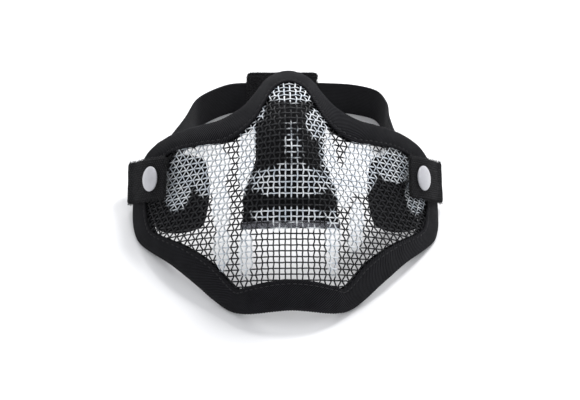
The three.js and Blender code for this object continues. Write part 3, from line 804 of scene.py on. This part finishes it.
def fibres(name, roots, ways, length, seed, radius=FUZZ_RADIUS):
    """Loose curling fibres that stand out of a cloth."""
    rng = np.random.default_rng(seed)
    count = len(roots)
    ways = unit(ways + rng.normal(scale=0.55, size=(count, 3)))
    curl = unit(rng.normal(size=(count, 3)))
    reach = length * rng.uniform(0.4, 1.2, count)[:, None, None]
    shares = np.array([-0.2, 0.35, 0.75, 1.0])[None, :, None]
    lines = roots[:, None] + reach * (ways[:, None] * shares + curl[:, None] * 0.45 * shares**2)
    side = unit(np.cross(ways, curl + 1e-3))
    normals = np.broadcast_to(side[:, None], lines.shape)
    points, faces, _ = tubes(lines, normals, radius, sides=3)
    return make_mesh(name, points, faces)


def tape_stitches(name, first, last):
    """The seam near the tape's inner edge, seen on both faces."""
    turns = np.arange(first + 0.004, last - 0.004, STITCH_PITCH / RIM.length)
    inward = tape_width(turns) - 2.0
    places, ways, outs = [], [], []
    for side in (1, -1):
        at, below = (
            rim_points(turns, inward[:, None], np.full((len(turns), 1), side * out))[:, 0]
            for out in (1.72, 0.72)
        )
        places.append(to_row(at))
        outs.append(row_way(unit(at - below)))
        ways.append(row_way(unit(np.gradient(at, axis=0))))
    piece = stitches(name, np.concatenate(places), np.concatenate(ways), np.concatenate(outs))
    return dress(piece, THREAD, "mask")


# ---- foam
def foam_section():
    """Places (inward, out) round the foam, behind the tape's back face."""
    top = BEHIND_TAPE
    bottom = top - FOAM_THICKNESS
    first, last = FOAM_MARGIN, TAPE_WIDTH - FOAM_MARGIN
    middle = (first + last) / 2
    return [
        (first, top), (middle, top), (last, top), (last + 0.2, top - 1.2), (last - 0.1, bottom + 1),
        (last - 1.4, bottom + 0.1), (middle, bottom - 0.1), (first + 1.4, bottom + 0.1),
        (first + 0.1, bottom + 1), (first - 0.2, top - 1.2),
    ]


def foam(name, first, last):
    margin = FOAM_MARGIN / RIM.length
    count = int((last - first) * RIM.length / FOAM_STEP)
    turns = np.linspace(first + margin, last - margin, count)
    section = np.array(foam_section())
    points = to_row(rim_points(turns, section[:, 0], section[:, 1]))
    piece = swept(name, points, along=turns * RIM.length)
    puff(piece)
    dress(piece, FOAM)
    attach(piece, "mask")
    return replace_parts(piece, name.replace("_pad", ""))


def coordinates(mesh):
    points = np.zeros(len(mesh.vertices) * 3, np.float32)
    mesh.vertices.foreach_get("co", points)
    return points.reshape(-1, 3).astype(float)


def baked(piece, name):
    """A new mesh of the piece as its modifiers make it."""
    bpy.context.view_layer.update()
    seen = piece.evaluated_get(bpy.context.evaluated_depsgraph_get())
    mesh = bpy.data.meshes.new_from_object(seen)
    mesh.name = name
    return mesh


def puff(piece):
    """Swells the foam's cover with a short cloth simulation, so that it is full and uneven."""
    name = piece.name
    remesh = piece.modifiers.new("even", "REMESH")
    remesh.mode = "VOXEL"
    remesh.voxel_size = FOAM_VOXEL
    even = baked(piece, name)
    piece.modifiers.clear()
    piece.data = even
    rest = coordinates(even)
    cloth = piece.modifiers.new("cloth", "CLOTH")
    cloth.settings.use_pressure = True
    cloth.settings.uniform_pressure_force = FOAM_PRESSURE
    cloth.settings.effector_weights.gravity = 0
    cloth.settings.mass = FOAM_MASS
    cloth.point_cache.frame_start = 1
    cloth.point_cache.frame_end = FOAM_STEPS
    for step in range(1, FOAM_STEPS + 1):
        bpy.context.scene.frame_set(step)
    swollen = baked(piece, name)
    piece.modifiers.clear()
    moved = coordinates(swollen) - rest
    far = np.linalg.norm(moved, axis=1, keepdims=True)
    kept = rest + moved * np.minimum(1, FOAM_SWELL / np.maximum(far, 1e-9))
    swollen.vertices.foreach_set("co", kept.astype(np.float32).ravel())
    piece.data = swollen
    finer = piece.modifiers.new("finer", "SUBSURF")
    finer.levels = 1
    finer.render_levels = 1
    piece.data = with_cloth_places(baked(piece, name))
    piece.modifiers.clear()
    bpy.context.scene.frame_set(1)


def with_cloth_places(mesh):
    """Gives a mesh that lost its cloth places new ones, from where its points lie."""
    points = coordinates(mesh) * 1000
    old = mesh.attributes.get("cloth")
    if old:
        mesh.attributes.remove(old)
    cloth = mesh.attributes.new("cloth", "FLOAT_VECTOR", "POINT")
    cloth.data.foreach_set("vector", points.astype(np.float32).ravel())
    mesh.shade_smooth()
    return mesh


# ---- cloths behind the mesh
def cloth_behind(name, depth, place, rows, columns):
    """A thin knitted cloth behind the mesh; place(a, b) gives x and u at -1 to 1 each way."""
    b, a = np.meshgrid(np.linspace(-1, 1, rows), np.linspace(-1, 1, columns), indexing="ij")
    x, u = place(a, b)
    flat = np.stack([x, 0 * x, u], -1)
    points = to_row(on_face(x, u, depth + 0.12 * wobble(flat, 13, 8)))
    across = np.concatenate(
        [np.zeros((rows, 1)), np.cumsum(np.linalg.norm(np.diff(points, axis=1), axis=2), 1)], 1
    )
    cloth = np.stack([across, u - u.min(), np.zeros_like(u)], -1)
    piece = make_mesh(name, points, grid_faces(rows, columns), {"cloth": cloth.reshape(-1, 3)})
    return dress(piece, LINING, "mask")


def rim_half_width(u):
    """Half width of the rim at height u near the nose, kept from growing upwards."""
    shares = np.linspace(0, 0.5, 400)
    outline = RIM.point(shares)
    high = outline[outline[:, 1] > FACE_HEIGHT * 0.75]
    order = np.argsort(high[:, 1])
    widths = np.minimum.accumulate(high[order, 0])
    return np.interp(u + 3, high[order, 1], widths)


def lining_half(u):
    """The lining is wide over the mouth and narrows up to the nose."""
    low, high = LINING_WAIST
    share = np.clip((u - low) / (high - low), 0, 1)
    return LINING_FOOT + (LINING_HALF_WIDTH - LINING_FOOT) * share


def nose_lining():
    """The cloth behind the nose and mouth, with a strip along its lower edge coloured grey as a painted
    highlight of that lit edge.
    """
    def place(a, b):
        u = (LINING_BOTTOM + LINING_TOP + b * (LINING_TOP - LINING_BOTTOM)) / 2
        limit = np.where(u > FACE_HEIGHT * 0.8, rim_half_width(u) - FOAM_MARGIN, HALF_WIDTH)
        frayed = 0.25 * np.sin(u * 3.1) * np.abs(a) ** 8
        return a * np.minimum(lining_half(u), limit) + frayed, u

    piece = cloth_behind("nose_lining_cloth", BEHIND_TAPE - LINING_THICKNESS / 2, place, 76, 44)
    hem = cloth_behind("nose_lining_hem", BEHIND_TAPE + 0.2, hem_place, 5, 60)
    # the strip's grey material is a painted highlight of the lining's lit lower edge
    hem.data.materials.clear()
    hem.data.materials.append(PAINTED_HEM_HIGHLIGHT)
    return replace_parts(piece, "nose_lining")


def hem_place(a, b):
    """The strip along the lining's lower edge, coloured grey as a painted highlight of that lit edge."""
    return a * (LINING_FOOT + 0.8), LINING_BOTTOM + 0.6 + b * HEM_HEIGHT / 2


def cheek_pad(side):
    """The rounded cloth over one cheek's foam."""
    cx = -PAD_X if side == "left" else PAD_X

    def place(a, b):
        x = cx + a * PAD_HALF_WIDTH * np.sqrt(1 - b * b / 3)
        return x, PAD_HEIGHT + b * PAD_HALF_HEIGHT * np.sqrt(1 - a * a / 3)

    depth = BEHIND_TAPE - FOAM_THICKNESS - GAP - LINING_THICKNESS / 2
    piece = cloth_behind(side + "_cheek_pad_cloth", depth, place, 44, 44)
    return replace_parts(piece, side + "_cheek_pad")


# ---- snap fasteners
def snap_frame(side):
    """Origin and the three directions at a snap: back along the surface, out, and across."""
    sign = -1 if side == "left" else 1
    x = np.array(float(sign * SNAP_X))
    u = np.array(float(SNAP_HEIGHT))
    climb = slopes(x, u)[0]
    back = unit(np.array([sign, -climb * sign, 0.0]))
    out = face_normal(x, u)
    return on_face(x, u), np.stack([back, out, np.cross(back, out)])


SNAP_FRAMES = {side: snap_frame(side) for side in ("left", "right")}
MESH_FACE = MESH_THICKNESS / 2
FLANGE = 0.8
STUD_BASE = MESH_FACE + CURVED_GAP
STUD_TOP = STUD_BASE + 3
SOCKET_BASE = STUD_BASE + FLANGE + GAP
SOCKET_TOP = STUD_TOP + 1
TAB_UNDER = SOCKET_TOP + GAP
CAP_BASE = TAB_UNDER + TAB_THICKNESS + GAP
CAP_HEIGHT = 2.4


def from_snap(side, local):
    """Points given in a snap's frame (back, out, across), moved to the row frame."""
    origin, ways = SNAP_FRAMES[side]
    return to_row(origin + np.asarray(local, float) @ ways)


def snap_way(side, local):
    return row_way(np.asarray(local, float) @ SNAP_FRAMES[side][1])


def rounded(profile, radius=0.25):
    """Cuts each corner of a profile in two, for edges that catch the light."""
    rows = [profile[0]]
    for before, here, after in zip(profile, profile[1:], profile[2:]):
        here, before, after = (np.array(p, float) for p in (here, before, after))
        for other in (before, after):
            away = other - here
            rows.append(tuple(here + away * min(0.45, radius / max(np.linalg.norm(away), 1e-6))))
    return rows + [profile[-1]]


def turned(name, side, profile, material, body):
    """A lathe-turned metal piece in a snap's frame; profile is (radius, height out)."""
    segments = 48
    angles = np.arange(segments) * 2 * math.pi / segments
    rows = []
    for radius, height in rounded(profile):
        radius = max(radius, 0.02)
        rows.append(np.stack([radius * np.cos(angles), 0 * angles + height, radius * np.sin(angles)], -1))
    rows = np.array(rows)
    points = from_snap(side, rows)
    piece = make_mesh(name, points, ring_faces(len(rows), segments))
    dress(piece, material, body)
    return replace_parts(piece, name.replace("_turned", ""))


def snap_pieces(side):
    """The four turned parts of one press stud: two on the tab and two on the mask."""
    body = side + "_tab"
    rim = CAP_BASE + 0.7
    top = CAP_BASE + CAP_HEIGHT
    dome = [(CAP_RADIUS * math.cos(t), rim + (top - rim) * math.sin(t)) for t in np.linspace(0, 1.5, 12)]
    cap = [(0, TAB_UNDER), (SHANK_RADIUS, TAB_UNDER), (SHANK_RADIUS, CAP_BASE),
           (CAP_RADIUS - 0.3, CAP_BASE), (CAP_RADIUS, CAP_BASE + 0.3), *dome, (0, top)]
    turned(side + "_snap_cap_turned", side, cap, CAP, body)
    mouth = STUD_HEAD_RADIUS + GAP
    socket = [(0, STUD_TOP + GAP), (mouth, STUD_TOP + GAP), (mouth - 0.2, SOCKET_BASE + 1.2),
              (mouth, SOCKET_BASE), (SOCKET_RADIUS, SOCKET_BASE), (SOCKET_RADIUS, SOCKET_TOP - 0.4),
              (SOCKET_RADIUS - 0.4, SOCKET_TOP), (0, SOCKET_TOP)]
    turned(side + "_snap_socket_turned", side, socket, STEEL, body)
    neck = STUD_HEAD_RADIUS - 0.5
    stud = [(0, STUD_BASE), (SOCKET_RADIUS, STUD_BASE), (SOCKET_RADIUS, STUD_BASE + FLANGE),
            (neck, STUD_BASE + FLANGE), (neck, STUD_BASE + FLANGE + 0.8),
            (STUD_HEAD_RADIUS, STUD_BASE + FLANGE + 1.4), (STUD_HEAD_RADIUS - 0.6, STUD_TOP), (0, STUD_TOP)]
    turned(side + "_snap_stud_turned", side, stud, STEEL, "mask")
    back = -MESH_FACE - CURVED_GAP
    post = [(0, back - FLANGE + 0.3), (SHANK_RADIUS - 0.5, back - FLANGE + 0.3),
            (SHANK_RADIUS, back - FLANGE), (SOCKET_RADIUS, back - FLANGE), (SOCKET_RADIUS, back),
            (SHANK_RADIUS, back), (SHANK_RADIUS, MESH_FACE), (0, MESH_FACE)]
    turned(side + "_snap_post_turned", side, post, STEEL, "mask")


# ---- webbing tabs
def under_tab(inward, out):
    """Rim points under the tab's width, in the right snap's frame."""
    shares = np.array([-0.55, -0.35, -0.15, 0.05, 0.25, 0.45, 0.6])
    turns = JOIN_TURN + shares * STRAP_WIDTH / RIM.length
    points = rim_points(turns, np.array([inward]), np.array([out]))[:, 0]
    origin, ways = SNAP_FRAMES["right"]
    return (points - origin) @ ways.T


def over_tape(inward):
    face = MESH_FACE + GAP + TAPE_THICKNESS
    return under_tab(inward, face)[:, 1].max() + GAP + TAB_THICKNESS / 2


FOLD = under_tab(-GAP - TAPE_THICKNESS, 0)
FOLD_BACK = FOLD[:, 0].max()
FOLD_OUT = FOLD[:, 1].min()
TAIL_BACK = FOLD_BACK + 0.9 + TAB_THICKNESS / 2


def tab_path():
    """The tab's middle line in its snap's frame, as (back, out)."""
    level = TAB_UNDER + TAB_THICKNESS / 2
    return Path(catmull([
        (-TAB_FRONT, level),
        (-SOCKET_RADIUS, level),
        (SOCKET_RADIUS + 1, level),
        (FOLD_BACK - TAPE_WIDTH, over_tape(TAPE_WIDTH) + 1),
        (FOLD_BACK - TAPE_WIDTH / 2, over_tape(TAPE_WIDTH / 2) + 0.4),
        (FOLD_BACK - 1, over_tape(0) + 0.3),
        (FOLD_BACK + TAB_BULGE * 0.7, over_tape(0) - 1.4),
        (FOLD_BACK + TAB_BULGE + TAB_THICKNESS / 2, FOLD_OUT),
        (TAIL_BACK + 0.5, FOLD_OUT - TAB_TAIL + 1.5),
        (TAIL_BACK, FOLD_OUT - TAB_TAIL),
    ]))


TAB_PATH = tab_path()


def strap_section(width, thickness, per_side=22):
    """Places (up, across) round a strap: flat faces, round edges with a thicker selvedge."""
    half = width / 2
    across = np.linspace(-half + 0.8, half - 0.8, per_side)
    swell = 1 + 0.12 * np.exp(-(((np.abs(across) - half + 1.6) / 0.8) ** 2))
    top = np.stack([thickness / 2 * swell, across], -1)
    turn = np.linspace(0, math.pi, 7)[1:-1]
    edge = np.stack([thickness / 2 * np.cos(turn), half - 0.8 + 0.8 * np.sin(turn)], -1)
    under = np.stack([-top[::-1, 0], across[::-1]], -1)
    other = np.stack([-edge[:, 0], -edge[:, 1]], -1)
    return np.concatenate([top, edge, under, other])


def tab(side):
    """A webbing tab over the rim, soft and slightly rumpled, with fuzz round its edges."""
    shares = np.linspace(0, 1, 110)
    section = strap_section(STRAP_WIDTH, TAB_THICKNESS)
    centre = TAB_PATH.point(shares)
    way = TAB_PATH.way(shares)
    over = np.stack([-way[:, 1], way[:, 0]], -1)
    narrow = 1 - 0.035 * np.exp(-((shares * TAB_PATH.length / 1.2) ** 2))
    flat = centre[:, None] + over[:, None] * section[None, :, :1]
    across = section[None, :, 1] * narrow[:, None]
    local = np.concatenate([flat, across[..., None]], -1)
    ripple = 0.16 * wobble(local, 10, 11)
    local[..., :2] += over[:, None] * ripple[..., None]
    local[..., 2] += 0.18 * wobble(local, 5, 12)
    piece = swept(side + "_tab_webbing", from_snap(side, local))
    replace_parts(piece, side + "_tab")
    bend_with_tab(piece, WEBBING, side)
    tab_fuzz(side, local)
    tab_seam(side)


def bend_with_tab(piece, material, side):
    """Gives the piece its material and bakes its placement into its points."""
    dress(piece, material)
    start, end = (from_snap(side, (*TAB_PATH.point(at), 0)) * 0.001 for at in (0.97, 0.62))
    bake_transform(piece)


def tab_fuzz(side, local):
    """Fibres along the tab's cut front end and both its edges."""
    rng = np.random.default_rng(21)
    half = STRAP_WIDTH / 2
    edge_rows = rng.integers(2, len(local) - 2, TAB_EDGE_FIBRES)
    edge_sides = rng.choice([-1, 1], TAB_EDGE_FIBRES)
    roots, ways = [], []
    for row, sign in zip(edge_rows, edge_sides):
        line = local[row]
        spot = line[np.argmax(line[:, 2] * sign)]
        roots.append(spot)
        ways.append((0, rng.uniform(-0.5, 0.8), sign))
    for _ in range(TAB_END_FIBRES):
        spot = local[0].mean(0) + np.array([0, rng.uniform(-0.6, 0.7), rng.uniform(-half, half)])
        roots.append(spot)
        ways.append((-1, rng.uniform(-0.3, 0.7), rng.uniform(-0.4, 0.4)))
    roots = from_snap(side, np.array(roots))
    piece = fibres(side + "_tab_fuzz", roots, snap_way(side, np.array(ways)), FUZZ_LENGTH, 22)
    bend_with_tab(piece, FIBRE, side)


def tab_seam(side):
    """Two rows of stitches that hold the elastic to the tab's tail."""
    places, ways, outs = [], [], []
    for share in (0.93, 0.975):
        point, way = TAB_PATH.point(share), TAB_PATH.way(share)
        over = np.array([-way[1], way[0]])
        for across in np.arange(-STRAP_WIDTH / 2 + 1.8, STRAP_WIDTH / 2 - 1, 2.4):
            spot = point + over * TAB_THICKNESS * 0.56
            places.append((*spot, across))
            ways.append((0, 0, 1))
            outs.append((*over, 0))
    args = from_snap(side, places), snap_way(side, ways), snap_way(side, outs)
    piece = stitches(side + "_tab_seam", *args, length=1.8, radius=0.28)
    bend_with_tab(piece, THREAD, side)


# ---- elastic head loop
ROUTES = {
    "left": [(66, 26), (58, 47), (52, 63), (44, LOOP_REACH - 8), (33, LOOP_REACH - 1.5)],
    "right": [(66, 26), (63.5, 46), (63, 60), (58.5, LOOP_REACH - 8), (45, LOOP_REACH - 2)],
}
SEAM_BACK = TAIL_BACK - TAB_THICKNESS / 2 - SEAM_GAP - BAND_THICKNESS / 2
SEAMS = {side: from_snap(side, (SEAM_BACK, FOLD_OUT - TAB_TAIL - GAP, 0)) for side in SNAP_FRAMES}
CLOSURE_BACK = (SEAMS["left"][1] + SEAMS["right"][1]) / 2 + LOOP_REACH
FRONT_REACH = 24  # length of each band's front piece


def band_path(side):
    """The middle line of one half of the loop, from the tab's seam to between the patches."""
    sign = -1 if side == "left" else 1
    start = SEAMS[side]
    standing = STRAP_WIDTH / 2
    leaning = band_lean(side)
    away = np.array([-sign * 5, -0.7, 0.75])
    away = away - leaning * (away @ leaning)
    route = [(sign * x, start[1] + back, standing + (1.2 if i == 0 else 0))
             for i, (x, back) in enumerate(ROUTES[side])]
    patch_end = PATCH_LENGTH / 2 + GAP
    return Path(catmull([
        start, start + away, *route,
        (sign * (patch_end + 4), start[1] + LOOP_REACH, standing),
        (sign * patch_end, start[1] + LOOP_REACH, standing),
        (sign * 11, start[1] + LOOP_REACH, standing),
        (sign * 1.0, start[1] + LOOP_REACH, standing),
    ]))


def band_lean(side):
    across = snap_way(side, (0, 0, 1))
    return across * np.sign(across[2])


def band_sections(side, first, last):
    """Sections of the elastic between two shares of its length."""
    path = band_path(side)
    cad_length = path.length - (PATCH_LENGTH / 2 + GAP - 1.0)
    count = int((last - first) * path.length / BAND_STEP)
    shares = np.linspace(first, last, count)
    twist = np.clip(shares * path.length / cad_length / TWIST_SHARE, 0, 1)
    twist = twist * twist * (3 - 2 * twist)
    upright = np.array([0, 0, 1.0])
    along = path.way(shares)
    wide = band_lean(side) * (1 - twist)[:, None] + upright * twist[:, None]
    wide = unit(wide - along * (wide * along).sum(-1, keepdims=True))
    thick = np.cross(wide, along)
    section = strap_section(STRAP_WIDTH, BAND_THICKNESS)
    deep = thick[:, None] * section[None, :, :1]
    points = path.point(shares)[:, None] + deep + wide[:, None] * section[None, :, 1:]
    points = points + thick[:, None] * (0.13 * wobble(points, 14, 31))[..., None]
    points[..., 2] = np.maximum(points[..., 2], FLOOR_GAP)
    return points, shares * path.length


def band(side):
    """One half of the elastic loop, in two pieces: the front piece and the rest."""
    path = band_path(side)
    split = FRONT_REACH / path.length
    points, along = band_sections(side, 0, split)
    front = swept(side + "_band_front", points, along=along)
    dress(front, ELASTIC)
    start, end = path.point(0.0) * 0.001, path.point(split) * 0.001
    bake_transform(front)
    points, along = band_sections(side, split, 1)
    rear = swept(side + "_band_rear", points, along=along)
    dress(rear, ELASTIC)
    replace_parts(rear, side + "_band")
    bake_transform(rear)


# ---- closure patches
def slab(name, thickness, height, back, seed):
    """A hand-cut patch with soft edges, its faces drawn in towards the middle."""
    half, corner = PATCH_LENGTH / 2, PATCH_CORNER
    outline = []
    for cx, cz, quarter in ((half, height, 0), (-half, height, 1), (-half, 0, 2), (half, 0, 3)):
        middle = np.array([cx - math.copysign(corner, cx), cz - corner if cz else corner])
        for t in np.linspace(0, math.pi / 2, 7) + quarter * math.pi / 2:
            outline.append(middle + corner * np.array([math.cos(t), math.sin(t)]))
    dense = Path(np.array(outline + outline[:1])).point(np.linspace(0, 1, 220, endpoint=False))
    centre = np.array([0, height / 2])
    rings = [(0.03, 0), (0.25, 0), (0.5, 0), (0.7, 0), (0.86, 0), (0.95, 0.04), (0.985, 0.12), (1, 0.32),
             (1, 0.68), (0.985, 0.88), (0.95, 0.96), (0.86, 1), (0.7, 1), (0.5, 1), (0.25, 1), (0.03, 1)]
    rows = []
    for share, deep in rings:
        flat = centre + (dense - centre) * share
        rows.append(np.stack([flat[:, 0], np.full(len(flat), back + deep * thickness), flat[:, 1]], -1))
    rows = np.array(rows)
    rows[..., 0] += 0.22 * wobble(rows, 6, seed)
    rows[..., 1] += 0.12 * wobble(rows, 8, seed + 1)
    rows[..., 2] = np.maximum(rows[..., 2] + 0.2 * wobble(rows, 7, seed + 2), 0.07)
    cloth = rows[..., [0, 2, 1]].reshape(-1, 3)
    piece = make_mesh(name, rows, ring_faces(len(rows), rows.shape[1]), {"cloth": cloth})
    dress(piece, PILE, "closure")
    return piece, rows


def patch_fuzz(name, rows, face_way, seed):
    """The patch's pile: fibres all over one face and round its cut edge."""
    rng = np.random.default_rng(seed)
    low, high = rows.reshape(-1, 3).min(0), rows.reshape(-1, 3).max(0)
    count = PATCH_FACE_FIBRES
    face = low[1] if face_way < 0 else high[1]
    roots = np.stack([rng.uniform(low[0] + 0.6, high[0] - 0.6, count), np.full(count, face),
                      rng.uniform(low[2] + 0.6, high[2] - 0.6, count)], -1)
    ways = np.tile([0.0, face_way, 0.0], (count, 1))
    edge = rows[7][rng.integers(0, rows.shape[1], PATCH_EDGE_FIBRES)]
    outward = unit((edge - rows[7].mean(0)) * np.array([1, 0, 1]))
    roots = np.concatenate([roots, edge])
    ways = np.concatenate([ways, outward])
    roots[:, 2] = np.maximum(roots[:, 2], 0.6)
    piece = fibres(name, roots, ways, PATCH_FIBRE_LENGTH, seed)
    dress(piece, FIBRE, "closure")


def patch_stitches(name, height, back, out_way):
    """A border of stitches just inside the patch's edge."""
    half = PATCH_LENGTH / 2 - 2
    low, high = 2.2, height - 2.2
    border = Path(np.array([(-half, low), (half, low), (half, high), (-half, high), (-half, low)], float))
    shares = np.arange(0, 1, 2.8 / border.length)
    flat = border.point(shares)
    way = border.way(shares)
    places = np.stack([flat[:, 0], np.full(len(flat), back), flat[:, 1]], -1)
    ways = np.stack([way[:, 0], 0 * way[:, 0], way[:, 1]], -1)
    outs = np.tile([0.0, out_way, 0.0], (len(flat), 1))
    piece = stitches(name, places, ways, outs)
    dress(piece, THREAD, "closure")


def closure():
    """The two hook-and-loop patches, with the elastic's ends between them."""
    front = CLOSURE_BACK - 2.2 - GAP / 2
    loop, rows = slab("loop_patch_pile", 1.5, PATCH_HEIGHT, front + 0.1, 41)
    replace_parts(loop, "loop_patch")
    patch_fuzz("loop_patch_fuzz", rows, -1, 42)
    patch_stitches("loop_patch_seam", PATCH_HEIGHT, front, -1)
    hook, rows = slab("hook_patch_pile", 1.1, PATCH_HEIGHT - 2, CLOSURE_BACK + 0.8, 51)
    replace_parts(hook, "hook_patch")
    patch_fuzz("hook_patch_fuzz", rows, 1, 52)
    patch_stitches("hook_patch_seam", PATCH_HEIGHT - 2, CLOSURE_BACK + 1.95, 1)


# ---- table, light and camera
def floor():
    """A plain pale table."""
    material, tree, shader = new_material("white_table", 0.6, specular=0.2)
    place = object_place(tree)
    tone = blend_colour(tree, noise(tree, place, 6.0), (0.84, 0.84, 0.85), (0.88, 0.88, 0.89))
    cover_with(tree, shader, tone)
    points = [(x * TABLE_HALF, y * TABLE_HALF, 0) for x, y in ((-1, -1), (1, -1), (1, 1), (-1, 1))]
    piece = make_mesh("table", points, [[0, 1, 2, 3]])
    piece.data.materials.append(material)


def area_light(name, place, target, size, power):
    light = bpy.data.lights.new(name, "AREA")
    light.shape = "DISK"
    light.size = size
    light.energy = power
    lamp = bpy.data.objects.new(name, light)
    bpy.context.scene.collection.objects.link(lamp)
    lamp.location = place
    lamp.rotation_mode = "QUATERNION"
    lamp.rotation_quaternion = (Vector(target) - Vector(place)).to_track_quat("-Z", "Y")


def lights():
    """Soft daylight all round, with two lamps behind the mask for its shadows."""
    world = bpy.data.worlds.new("studio")
    world.use_nodes = True
    background = world.node_tree.nodes["Background"]
    background.inputs[0].default_value = (0.97, 0.98, 1.0, 1)
    background.inputs[1].default_value = 0.9
    bpy.context.scene.world = world
    area_light("key", (0.35, 0.5, 0.85), (0, 0, 0.03), 0.3, 7.0)
    area_light("back", (-0.1, 0.9, 0.6), (0, 0.0, 0.02), 0.5, 6.0)


def camera():
    """The photograph's view: fitted angles, distance and lens."""
    elevation, azimuth, roll = math.radians(42.84), math.radians(-3.26), math.radians(2.015)
    distance, target = 0.7158, Vector((0.001, -0.0252, 0.030))
    flat = math.cos(elevation)
    back = Vector((math.sin(azimuth) * flat, -math.cos(azimuth) * flat, math.sin(elevation)))
    right = Vector((0, 0, 1)).cross(back).normalized()
    up = back.cross(right)
    data = bpy.data.cameras.new("photo_view")
    data.lens = 80.6
    data.sensor_width = 36
    eye = bpy.data.objects.new("photo_view", data)
    bpy.context.scene.collection.objects.link(eye)
    c, s = math.cos(roll), math.sin(roll)
    turned_right, turned_up = right * c + up * s, up * c - right * s
    axes = Matrix((turned_right, turned_up, back)).transposed().to_4x4()
    eye.matrix_world = Matrix.Translation(target + back * distance) @ axes
    bpy.context.scene.camera = eye


def build():
    """Makes every piece of the mask."""
    mesh_wires()
    tape("upper_tape", JOIN_TURN + 0.0003, 1 - JOIN_TURN - 0.0003, "upper_binding")
    tape("lower_tape", -JOIN_TURN + 0.0003, JOIN_TURN - 0.0003, "lower_binding")
    tape_stitches("upper_tape_seam", JOIN_TURN, 1 - JOIN_TURN)
    tape_stitches("lower_tape_seam", -JOIN_TURN, JOIN_TURN)
    foam("jaw_foam_pad", -JOIN_TURN, JOIN_TURN)
    foam("right_cheek_foam_pad", JOIN_TURN, NOSE_TURN)
    foam("left_cheek_foam_pad", 1 - NOSE_TURN, 1 - JOIN_TURN)
    nose_lining()
    for side in ("left", "right"):
        cheek_pad(side)
        snap_pieces(side)
        tab(side)
        band(side)
    closure()


bpy.context.scene.view_settings.view_transform = "Standard"
build()
floor()
lights()
camera()
